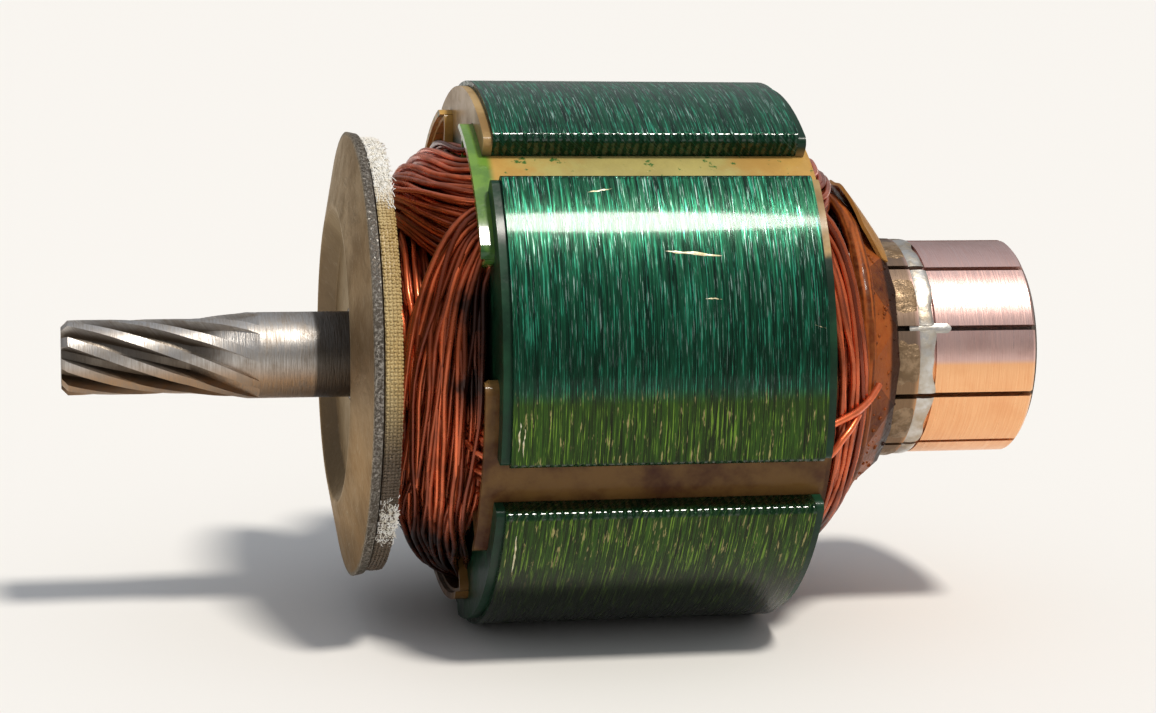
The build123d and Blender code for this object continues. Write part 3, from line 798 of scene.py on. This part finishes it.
# In the arch
overhang = between(values["Drive Overhang"], values["Commutator Overhang"], at_commutator)
height = between(TURN_BASE + wire_r, overhang - wire_r, across)
drop = between(DRIVE_TURN_DROP, COMMUTATOR_TURN_DROP, at_commutator)
back_r = OUTER_TURN_R - wire_r - drop * (height * reach / overhang) ** TURN_DROP_POWER
outer_r = between(LAYER_R + wire_r, back_r, depth)
inner_r = between(INNER_TURN_R + wire_r, LAYER_R - wire_r, depth)
layer = between(values["First Layer"], values["Second Layer"], rise(along, *LAYER_CHANGE))
arch_r = between(inner_r, outer_r, layer)

radius = between(slot_r, arch_r, rise(reach, 0.0, SLOT_LEFT_BEHIND))
face = between(values["Drive Face"], values["Commutator Face"], at_commutator)
x = face + (at_commutator * 2.0 - 1.0) * height * reach
place = round_axis(x, radius, between(first, second, along))
moved = add_node(tree, "GeometryNodeSetPosition", lines, Position=place)
loops = add_node(tree, "GeometryNodeSetSplineCyclic", moved, Cyclic=True)
# Each strand gets a tone that differs at random, lower on the inner strands: painted shade between the wires.
tone = random_number(strand, seed + 8.0) * between(INNERMOST_PAINTED_SHADE, 1.0, depth)
toned = name_points(tree, loops, "POINT", "tone", tone)
strand_tree = end_tree(tree, make_tubes(tree, toned, wire_r, STRAND_SIDES), "enamelled_wire", result)
print("strand_tree has", len(tree.nodes), "nodes")

# %% [markdown]
# ## Winding the five coils
# Five coils share five slots, and each spans two teeth. The first coils lie deep against the shaft, the
# last ones on top of them, and one has to cross from the outer layer to the inner. The two leads of each
# coil run under the resin to two neighbouring bars, and sit in the slots of their risers.

# %% Wind the coils
WIRE_R = 0.29 * MM
WIRE_TONE = 0.6
WIRE_BEVEL_STEPS = 2
LOOSENESS = {"coil_5": 0.05}
USUAL_LOOSENESS = 0.10
COIL_LAYERS = {"coil_1": (0, 0), "coil_2": (1, 1), "coil_3": (0, 0), "coil_4": (1, 0), "coil_5": (1, 1)}
SLOT_SHARE = {"coil_2": (5.0, 0.8), "coil_5": (0.8, -4.5)}
USUAL_SLOT_SHARE = (0.8, 0.8)
COMMUTATOR_OVERHANG = 6.8 * MM
FIRST_BAR = FIRST_SLOT + radians(16)
BAR_PITCH = radians(36)
LEAD_R = 0.55 * MM
LEAD_START_R = (11.3 * MM, 13.2 * MM)
LEAD_BEHIND_CORE = (2.2 * MM, 7.4 * MM)
LEAD_BEFORE_SOLDER = (3.4 * MM, 2.0 * MM, 0.1 * MM)
LEAD_SEAT_DEPTH = 0.58 * MM


def ring_point(x, radius, angle):
    """A point at a place along the shaft, a distance from its axis and an angle round it."""
    return Vector((x, radius * cos(angle), radius * sin(angle)))


def make_wire(name, points, radius, tone=WIRE_TONE):
    """One round enamelled wire through the points, as a mesh, with its own tone."""
    data = bpy.data.curves.new(name, "CURVE")
    data.dimensions = "3D"
    data.bevel_depth = radius
    data.bevel_resolution = WIRE_BEVEL_STEPS
    data.use_fill_caps = True
    spline = data.splines.new("NURBS")
    spline.points.add(len(points) - 1)
    for knot, point in zip(spline.points, points):
        knot.co = (*point, 1)
    spline.order_u = 3
    spline.use_endpoint_u = True
    wire = bpy.data.objects.new(name, data)
    mesh = bpy.data.meshes.new_from_object(wire)
    bpy.data.objects.remove(wire)
    mesh.materials.clear()
    mesh.materials.append(MATERIALS["enamelled_wire"])
    mesh.attributes.new("tone", "FLOAT", "POINT").data.foreach_set("value", [tone] * len(mesh.vertices))
    return add_object(name, mesh)


def merge(name, pieces):
    """Joins pieces into the first of them, and names it."""
    with bpy.context.temp_override(active_object=pieces[0], selected_editable_objects=pieces):
        bpy.ops.object.join()
    pieces[0].name = name
    return pieces[0]


def make_leads(coil, number):
    """The two leads of a coil, from its end turn to the slots of two risers."""
    solder_low, solder_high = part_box("riser_solder")
    seat_r = solder_high.y - LEAD_SEAT_DEPTH
    path = [(core_x1 + gap, LEAD_START_R[COIL_LAYERS[coil][0]]) for gap in LEAD_BEHIND_CORE]
    path += [(solder_low.x - gap, seat_r) for gap in LEAD_BEFORE_SOLDER]
    angles = [FIRST_BAR + bar * BAR_PITCH for bar in (2 * number, 2 * number + 1)]
    routes = [[ring_point(x, radius, angle) for x, radius in path] for angle in angles]
    return [make_wire(f"{coil}_lead", route, LEAD_R) for route in routes]


for number, (coil, layers) in enumerate(COIL_LAYERS.items()):
    gaps = SLOT_SHARE.get(coil, USUAL_SLOT_SHARE)
    first_slot = FIRST_SLOT + number * SLOT_PITCH
    wound = grow(
        f"{coil}_strands", strand_tree,
        Wire_Radius=WIRE_R, First_Slot=first_slot, Second_Slot=first_slot + 2 * SLOT_PITCH,
        First_Gap=radians(gaps[0]), Second_Gap=radians(gaps[1]),
        First_Layer=float(layers[0]), Second_Layer=float(layers[1]),
        Drive_Face=core_x0, Drive_Overhang=core_x0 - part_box("coil_1")[0].x,
        Commutator_Face=core_x1, Commutator_Overhang=COMMUTATOR_OVERHANG,
        Looseness=LOOSENESS.get(coil, USUAL_LOOSENESS), Seed=10.0 * number + 3.0,
    )
    merge(wound.name, [wound, *make_leads(coil, number)])
    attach(wound, "root")
    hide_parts(coil)
    print(wound.name, len(wound.data.polygons), "faces")

# %% [markdown]
# ## Skins through sections
# The pieces that are left are lumps and sheets with no rule to repeat: solder, resin and paper. Each is a
# skin laid through a row of sections, as a boat's planks lie over its frames. One helper does that, closes
# the ends and turns the faces outwards, and a noise on the sections keeps them from looking machined.

# %% Loft helper
SHARP_EDGE = radians(50)


def loft(name, sections, finish, closed=False):
    """A skin through sections with as many points each; an open row of sections gets flat ends."""
    count, corners = len(sections), len(sections[0])
    faces = []
    for here in range(count if closed else count - 1):
        there = (here + 1) % count
        for corner in range(corners):
            following = (corner + 1) % corners
            square = ((here, corner), (there, corner), (there, following), (here, following))
            faces.append([section * corners + point for section, point in square])
    if not closed:
        faces += [range(corners), range((count - 1) * corners, count * corners)]
    mesh = bpy.data.meshes.new(name)
    mesh.from_pydata([point for section in sections for point in section], [], faces)
    skin = bmesh.new()
    skin.from_mesh(mesh)
    bmesh.ops.recalc_face_normals(skin, faces=skin.faces)
    skin.to_mesh(mesh)
    skin.free()
    mesh.shade_smooth()
    mesh.set_sharp_from_angle(angle=SHARP_EDGE)
    mesh.materials.append(MATERIALS[finish])
    return add_object(name, mesh)


def steps(count, start=0.0, end=1.0):
    """Evenly spaced numbers from start to end."""
    return [start + (end - start) * step / (count - 1) for step in range(count)]


def whole_turn(count):
    """That many evenly spaced angles round a circle."""
    return steps(count + 1, 0, 2 * pi)[:-1]


def unevenness(seed, *place):
    """A smooth random number from -1 to 1 for a place."""
    return noise.noise(Vector((*place, *[0.0] * (3 - len(place)))) + Vector((seed, 1.7 * seed, 0.3 * seed)))


def place_piece(piece, replaced=None):
    """Hands a finished piece over to the frame."""
    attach(piece, "root")
    if replaced:
        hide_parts(replaced)
    print(piece.name, len(piece.data.polygons), "faces")


print("loft helper ready")

# %% [markdown]
# ## The woven washer
# Behind the end plate lies a thick washer of glass cloth. Where a thread passes over the others it shows as
# a small bead. A bump has no outline on a rim that is seen edge on, so a tree sets beads out in rows over
# the rim and down the back, every second one turned across, on a plain ring. Where the cloth was torn,
# short threads stand out.

# %% Rows of thread beads over a washer's rim and down its back
BEAD_LENGTH = 0.66
BEAD_WIDTH = 0.42
BEAD_SHIFT = 0.2
BEAD_SINK = 0.25

inputs = {
    "Threads Round": 376.0, "Rows": 15.0, "Pitch": 0.34 * MM,
    "Rim Radius": 20 * MM, "Front": 0.0, "Thickness": 1.5 * MM,
}
tree, values, result = start_tree("woven_rim", "GeometryNodeTree", inputs)
threads, pitch, thickness = values["Threads Round"], values["Pitch"], values["Thickness"]
beads = add_node(tree, "GeometryNodeMeshLine", Count=values["Rows"] * threads)
index = Formula(add_node(tree, "GeometryNodeInputIndex"))
row = calculate("FLOOR", index / threads)
column = calculate("FLOORED_MODULO", index, threads)
path = (row + 0.5) * pitch
shift = [random_number(index, draw) - 0.5 for draw in range(3)]
x = values["Front"] + calculate("MINIMUM", path, thickness) + shift[0] * pitch * BEAD_SHIFT
inwards = calculate("MAXIMUM", path - thickness, 0.0)
radius = values["Rim Radius"] - inwards + (shift[1] - 0.5) * pitch * BEAD_SINK
angle = (column + shift[2] * BEAD_SHIFT) * (2 * pi) / threads
out_y, out_z = calculate("COSINE", angle), calculate("SINE", angle)
place = vector(x, radius * out_y, radius * out_z)
moved = add_node(tree, "GeometryNodeSetPosition", beads, Position=place)

# Beads face outwards on the rim and along the shaft on the back
on_back = calculate("GREATER_THAN", path, thickness)
on_rim = 1.0 - on_back
facing = vector(on_back, out_y * on_rim, out_z * on_rim)
across = vector(on_rim, 0.0 - out_y * on_back, 0.0 - out_z * on_back)
turned = align(tree, "X", across, "Z", Rotation=align(tree, "Z", facing))

# Every second bead belongs to a thread that crosses the others
crossing = calculate("FLOORED_MODULO", row + column, 2.0)
length, width = BEAD_LENGTH * pitch, BEAD_WIDTH * pitch
size = vector(between(length, width, crossing), between(width, length, crossing), width)
bead = add_node(tree, "GeometryNodeMeshIcoSphere", Radius=1.0, Subdivisions=1)
laid = add_node(tree, "GeometryNodeInstanceOnPoints", moved, Instance=bead, Rotation=turned, Scale=size)
weave_tree = end_tree(tree, laid, "woven_cloth", result)
print("weave_tree has", len(tree.nodes), "nodes")

# %% Short loose threads that stand out of a washer's rim round one place
FRAY_POINTS = 6
FRAY_SIDES = 4
FRAY_LENGTHS = (0.35, 1.0)
FRAY_ASIDE = 4.0
FRAY_LEAN = (-0.3, 0.9)
FRAY_LIFT = (0.2, 0.7)
FRAY_CURL = 0.4

inputs = {
    "Threads": 300.0, "Thread Radius": 0.04 * MM, "Length": 0.8 * MM, "Middle": 0.0, "Spread": 0.3,
    "Rim Radius": 20 * MM, "Front": 0.0, "Thickness": 1.6 * MM, "Seed": 1.0,
}
tree, values, result = start_tree("frayed_rim", "GeometryNodeTree", inputs)
threads, strand = scatter_lines(tree, values["Threads"], FRAY_POINTS)
chance = [random_number(strand, values["Seed"] + float(draw)) for draw in range(7)]
share = Formula(tree.nodes.new("GeometryNodeSplineParameter").outputs["Factor"])
grown = values["Length"] * between(*FRAY_LENGTHS, chance[0]) * share
curl = grown * share
root = values["Middle"] + values["Spread"] * (chance[1] + chance[2] - 1.0)
angle = root + grown * (chance[6] - 0.5) * FRAY_ASIDE / values["Rim Radius"]
x = values["Front"] + values["Thickness"] * chance[3] + grown * between(*FRAY_LEAN, chance[4])
radius = values["Rim Radius"] + grown * between(*FRAY_LIFT, chance[5]) - curl * FRAY_CURL
moved = add_node(tree, "GeometryNodeSetPosition", threads, Position=round_axis(x, radius, angle))
tubes = make_tubes(tree, moved, values["Thread Radius"], FRAY_SIDES)
fray_tree = end_tree(tree, tubes, "loose_fibres", result)
print("fray_tree has", len(tree.nodes), "nodes")

# %% Weave the washer
BEAD_HEIGHT = 0.15 * MM
CLOTH_DEPTH = 1.4 * BEAD_HEIGHT
WASHER_BORE_R = 4.55 * MM
WEAVE_REACH = 5 * MM
WEAVE_EDGE = 0.4 * MM
WASHER_SIDES = 128
FRAYED_PLACES = [(radians(110), radians(20), 0.60 * MM, 800), (radians(218), radians(10), 0.45 * MM, 500)]

washer_low, washer_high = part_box("woven_washer")
washer_r = washer_high.y
washer_face_r = washer_r - CLOTH_DEPTH
washer_back = washer_high.x - CLOTH_DEPTH
washer_thickness = washer_high.x - washer_low.x
washer_profile = [
    (washer_low.x, WASHER_BORE_R), (washer_low.x, washer_face_r), (washer_back, washer_face_r),
    (washer_back, washer_r - WEAVE_REACH), (washer_high.x, washer_r - WEAVE_REACH - WEAVE_EDGE),
    (washer_high.x, WASHER_BORE_R),
]
ring_sections = [[ring_point(x, r, turn) for x, r in washer_profile] for turn in whole_turn(WASHER_SIDES)]
washer = loft("washer_cloth", ring_sections, "woven_cloth", closed=True)
rim = {"Rim_Radius": washer_r - BEAD_HEIGHT, "Front": washer_low.x}
weave = grow("weave", weave_tree, Thickness=washer_thickness - BEAD_HEIGHT, **rim)
frays = [
    grow("fray", fray_tree, Threads=float(count), Length=length, Middle=middle, Spread=spread,
         Thickness=washer_thickness, Seed=40.0 + middle, **rim)
    for middle, spread, length, count in FRAYED_PLACES
]
merge("washer_cloth", [washer, weave, *frays])
place_piece(washer, replaced="woven_washer")

# %% [markdown]
# ## Solder on the commutator
# Each bar is tinned next to its riser, and the solder ran: its edge on the brush side is wavy, and over one
# gap it bridges two bars. In the risers themselves a dull fillet of solder and burnt flux covers the leads.
# A ring with straight edges would look machined, so each bar's band is a skin whose edges wander.

# %% Solder bands and lead fillets
BAR_COUNT = 10
BAR_SWEEP = radians(33.2)
SOLDER_ABOVE_TRACK = 0.2 * MM
SOLDER_HEIGHT = 0.17 * MM
SOLDER_LUMPS = 0.04 * MM
SOLDER_BULGE_POWER = 0.6
SOLDER_POINTS = 9
SOLDER_SKIN = 0.01 * MM
FOOT_DEPTH = 0.3 * MM
FOOT_INSET = 0.2 * MM
FOOT_SHARE = 0.9
BAND_SECTIONS = 22
RISER_EDGE_OVERLAP = 0.12 * MM
RISER_EDGE_WANDER = 0.14 * MM
BRUSH_EDGE_INSET = 0.15 * MM
BRUSH_EDGE_WANDER = 0.45 * MM
BRIDGED_GAP = radians(160)
BRIDGE_HALF_SWEEP = radians(2.6)
BRIDGE_HEIGHT = 0.10 * MM
BRIDGE_REACH = 1.5 * MM
BRIDGE_BEHIND_RISER = 1.2 * MM
BRIDGE_ROUNDING = 0.4 * MM
BRIDGE_SECTIONS = 9
RISER_ABOVE_TRACK = 0.22 * MM
FILLET_LENGTH = 2.15 * MM
FILLET_OVERLAP = 0.05 * MM
FILLET_HALF_WIDTH = 2.2 * MM
FILLET_WIDTH_WANDER = 0.7 * MM
FILLET_HEIGHT = 0.13 * MM
FILLET_LUMPS = 0.07 * MM
FILLET_SKIN = 0.02 * MM
FILLET_END_POWER = 0.4
FILLET_SECTIONS = 10
FILLET_POINTS = 11

bar_x0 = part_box("commutator_bar_01")[0].x
solder_low, solder_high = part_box("riser_solder")
track_r = solder_high.y - SOLDER_ABOVE_TRACK


def solder_section(start_x, end_x, height, angle, seed):
    """One bulging section of a solder band, from its riser edge to its brush edge."""
    top = []
    for share in steps(SOLDER_POINTS):
        bulge = height * max(0.0, 1 - (2 * share - 1) ** 2) ** SOLDER_BULGE_POWER
        lump = SOLDER_LUMPS * unevenness(seed, 5 * share, 14 * angle) * sin(pi * share)
        top.append(ring_point(between(start_x, end_x, share), track_r + SOLDER_SKIN + bulge + lump, angle))
    feet = [ring_point(x, track_r - FOOT_DEPTH, angle) for x in (end_x - FOOT_INSET, start_x + FOOT_INSET)]
    return top + feet


def make_solder_band(bar):
    """The solder on one bar."""
    middle = FIRST_BAR + bar * BAR_PITCH
    sections = []
    for angle in steps(BAND_SECTIONS, middle - BAR_SWEEP / 2, middle + BAR_SWEEP / 2):
        start_x = solder_low.x - RISER_EDGE_OVERLAP + RISER_EDGE_WANDER * unevenness(3.1, 9 * angle)
        end_x = solder_high.x - BRUSH_EDGE_INSET + BRUSH_EDGE_WANDER * unevenness(7.7, 5 * angle)
        sections.append(solder_section(start_x, end_x, SOLDER_HEIGHT, angle, bar + 0.5))
    return loft("solder_band", sections, "solder")


def make_solder_bridge():
    """The run of solder that closes the start of one gap between two bars."""
    sections = []
    for share in steps(BRIDGE_SECTIONS, -1, 1):
        start_x = bar_x0 + BRIDGE_BEHIND_RISER
        end_x = solder_high.x + BRIDGE_REACH - BRIDGE_ROUNDING * share * share
        angle = BRIDGED_GAP + BRIDGE_HALF_SWEEP * share
        sections.append(solder_section(start_x, end_x, BRIDGE_HEIGHT * (1 - share * share), angle, 21.0))
    return loft("solder_bridge", sections, "solder")


def make_lead_fillet(bar):
    """The dull fillet over one lead in its riser."""
    middle = FIRST_BAR + bar * BAR_PITCH
    riser_r = track_r + RISER_ABOVE_TRACK
    sections = []
    for share in steps(FILLET_SECTIONS):
        x = bar_x0 - FILLET_OVERLAP + FILLET_LENGTH * share
        wander_across = FILLET_WIDTH_WANDER * unevenness(2.2, 3 * share, 5 * bar)
        half_width = (FILLET_HALF_WIDTH + wander_across) / riser_r
        lumpy = FILLET_HEIGHT + FILLET_LUMPS * unevenness(5.1, 4 * share, 5 * bar)
        height = FILLET_SKIN + lumpy * sin(pi * share) ** FILLET_END_POWER
        low_r = riser_r - FILLET_SKIN
        top = [
            ring_point(x, low_r + height * (1 - across * across), middle + across * half_width)
            for across in steps(FILLET_POINTS, -1, 1)
        ]
        foot_width = half_width * FOOT_SHARE
        feet = [ring_point(x, riser_r - FOOT_DEPTH, middle + side * foot_width) for side in (1, -1)]
        sections.append(top + feet)
    return loft("lead_fillet", sections, "flux")


bands = [make_solder_band(bar) for bar in range(BAR_COUNT)]
solder_joints = merge("solder_joints", [*bands, make_solder_bridge()])
place_piece(solder_joints, replaced="riser_solder")
lead_fillets = merge("lead_fillets", [make_lead_fillet(bar) for bar in range(BAR_COUNT)])
place_piece(lead_fillets)

# %% [markdown]
# ## Resin and paper over the leads
# The leads lie under creased paper that was brushed with resin. The resin collected where the paper meets
# the wires, in an uneven bead all round, and it dried in drops. A tree scatters the drops over the paper's
# own mesh, thickest near the wires. At the top a corner of the paper stands up.

# %% Drops of resin on the outside of a mesh, thickest near one end of it
FEWEST_DROPS = 0.12
SMALLEST_DROP = 0.3

inputs = {"Drops per m2": 1.1e6, "Thick From": 0.0, "Thin From": 0.001, "Largest": 0.24 * MM, "Seed": 3.0}
tree, values, result = start_tree("resin_drops", "GeometryNodeTree", inputs)
seed = values["Seed"]
x, y, z = split(add_node(tree, "GeometryNodeInputPosition"))
normal = split(add_node(tree, "GeometryNodeInputNormal"))
outside = calculate("GREATER_THAN", normal[1] * y + normal[2] * z, 0.0)
thick = between(FEWEST_DROPS, 1.0, rise(x, values["Thin From"], values["Thick From"]))
density = values["Drops per m2"] * thick * outside
mesh = values["Geometry"]
scattered = add_node(tree, "GeometryNodeDistributePointsOnFaces", mesh, Density=density, Seed=seed)
index = Formula(add_node(tree, "GeometryNodeInputIndex"))
size = values["Largest"] * between(SMALLEST_DROP, 1.0, random_number(index, seed + 1.0) ** 2.0)
drop = add_node(tree, "GeometryNodeMeshIcoSphere", Radius=1.0, Subdivisions=2)
laid = add_node(tree, "GeometryNodeInstanceOnPoints", scattered, Instance=drop, Scale=size)
drop_tree = end_tree(tree, laid, "resin_wrap", result)
print("drop_tree has", len(tree.nodes), "nodes")

# %% Lay the resin and the paper
BEAD_HALF_LENGTH = 0.75 * MM
BEAD_HALF_HEIGHT = 0.6 * MM
BEAD_SWELL = 0.35
BEAD_LUMPS = 0.25
BEAD_INSET = 0.1 * MM
BEAD_BELOW_WRAP = 0.55 * MM
BEAD_SIDES = 10
BEAD_SECTIONS = 180
DROPS_THICK, DROPS_THIN = 0.3 * MM, 2.2 * MM
PAPER_HALF_THICK = 0.12 * MM
PAPER_CREASE = 0.35 * MM
PAPER_SPAN = (radians(62), radians(128))
PAPER_FOOT_INSET = 0.5 * MM
PAPER_FOOT_R = 12.0 * MM
PAPER_TIP_INSET = (1.2 * MM, 3.9 * MM)
PAPER_TIP_R = (12.6 * MM, 16.2 * MM)
PAPER_SECTIONS = 25
PAPER_POINTS = 6

wrap_low, wrap_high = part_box("lead_wrap")


def resin_section(angle):
    """One section of the resin bead between the wires and the paper."""
    swell = 1 + BEAD_SWELL * unevenness(4.4, 3 * cos(angle), 3 * sin(angle))
    lumps = 1 + BEAD_LUMPS * unevenness(8.8, 9 * cos(angle), 9 * sin(angle))
    middle_x, middle_r = wrap_low.x + BEAD_INSET, wrap_high.y - BEAD_BELOW_WRAP
    section = []
    for turn in whole_turn(BEAD_SIDES):
        x = middle_x + BEAD_HALF_LENGTH * swell * cos(turn)
        section.append(ring_point(x, middle_r + BEAD_HALF_HEIGHT * lumps * sin(turn), angle))
    return section


def make_paper_corner():
    """The corner of the paper that stands up at the top and leans on the wires."""
    foot_x = wrap_high.x - PAPER_FOOT_INSET
    sections = []
    for share in steps(PAPER_SECTIONS):
        angle = between(*PAPER_SPAN, share)
        lift = sin(pi * share) ** 0.5
        crease = PAPER_CREASE * unevenness(6.3, 9 * share)
        tip_x = wrap_high.x - between(*PAPER_TIP_INSET, lift)
        tip_r = between(*PAPER_TIP_R, lift) + crease
        outer, inner = [], []
        for rung in steps(PAPER_POINTS):
            x = between(foot_x, tip_x, rung)
            radius = between(PAPER_FOOT_R, tip_r, rung) + 0.5 * crease * sin(pi * rung)
            outer.append(ring_point(x + PAPER_HALF_THICK, radius + PAPER_HALF_THICK, angle))
            inner.append(ring_point(x - PAPER_HALF_THICK, radius - PAPER_HALF_THICK, angle))
        sections.append(outer + inner[::-1])
    return loft("paper_corner", sections, "fibre")


bead_sections = [resin_section(turn) for turn in whole_turn(BEAD_SECTIONS)]
resin_bead = loft("resin_bead", bead_sections, "resin_wrap", closed=True)
drops = grow(
    "drops", drop_tree, carrier=nodes["lead_wrap"].data.copy(),
    Thick_From=wrap_low.x + DROPS_THICK, Thin_From=wrap_low.x + DROPS_THIN,
)
place_piece(merge("resin_bead", [resin_bead, drops]))
place_piece(make_paper_corner())

# %% [markdown]
# ## Loose wires
# Two wires came away from the end turns by the commutator and lie over the others. They are single, so each
# is a curve through a few listed points, with a round section. A point has its place along the shaft and its
# distance from the axis in millimetres, and its angle in degrees.

# %% Loose wires
LOOSE_WIRE_R = 0.34 * MM
LOOSE_WIRES = [
    [(51.8, 14.8, 183), (50.8, 16.2, 185.4), (49.6, 17.8, 186.4), (48.0, 19.4, 187.6), (44.7, 20.9, 189.7)],
    [(48.9, 18.3, 188.6), (48.1, 19.4, 190.8), (46.9, 20.3, 193.3), (46.2, 20.8, 195.8), (45.2, 21.1, 197.9)],
]
loose_wires = []
for places in LOOSE_WIRES:
    points = [ring_point(x * MM, r * MM, radians(turn)) for x, r, turn in places]
    loose_wires.append(make_wire("loose_wire", points, LOOSE_WIRE_R, tone=1.0))
place_piece(merge("loose_wires", loose_wires))

# %% [markdown]
# ## Chips in the lacquer
# Handling has chipped the lacquer in a few places, and bright metal shows in thin marks, some along the
# core and some round it. They lie where they were seen, so each is a skin along its own short line on the
# core. The table has where each starts and ends, in millimetres along the shaft and degrees round it, and
# half its width.

# %% Chips
CHIPS = [
    ((29.5, 30.5), (34.6, 29.4), 0.16), ((32.8, 20.9), (34.3, 20.7), 0.08),
    ((42.5, 15.4), (43.5, 14.7), 0.08), ((23.3, 43.8), (25.5, 44.5), 0.10),
    ((16.5, -2.8), (16.4, -8.8), 0.08), ((16.9, -4.0), (16.8, -10.0), 0.08),
    ((16.9, -28.0), (17.0, -39.0), 0.10),
]
CHIP_WANDER = 0.1 * MM
CHIP_FULLNESS = 0.7
CHIP_RAGGEDNESS = 0.9
CHIP_THINNEST = 0.05
CHIP_SECTIONS = 17
CHIP_SECTION = ((-1, 0.0), (0, 0.02 * MM), (1, 0.0), (0, -0.05 * MM))


def make_chip(number, start, end, half_width):
    """One thin bright mark from start to end."""
    across_x, across_turn = (0, 1) if abs(end[0] - start[0]) > 1 else (1, 0)
    sections = []
    for share in steps(CHIP_SECTIONS):
        ragged = CHIP_FULLNESS + CHIP_RAGGEDNESS * unevenness(number, 9 * share)
        width = half_width * MM * max(CHIP_THINNEST, sin(pi * share) ** 0.5 * ragged)
        aside = CHIP_WANDER * unevenness(number + 0.4, 4 * share)
        x = between(start[0], end[0], share) * MM + aside * across_x
        turn = pi - radians(between(start[1], end[1], share)) + aside * across_turn / core_r
        sections.append([
            ring_point(x + side * width * across_x, core_r + lift, turn + side * width * across_turn / core_r)
            for side, lift in CHIP_SECTION
        ])
    return loft("chip", sections, "bare_metal")


chips = [make_chip(number + 0.5, *chip) for number, chip in enumerate(CHIPS)]
place_piece(merge("lacquer_chips", chips))
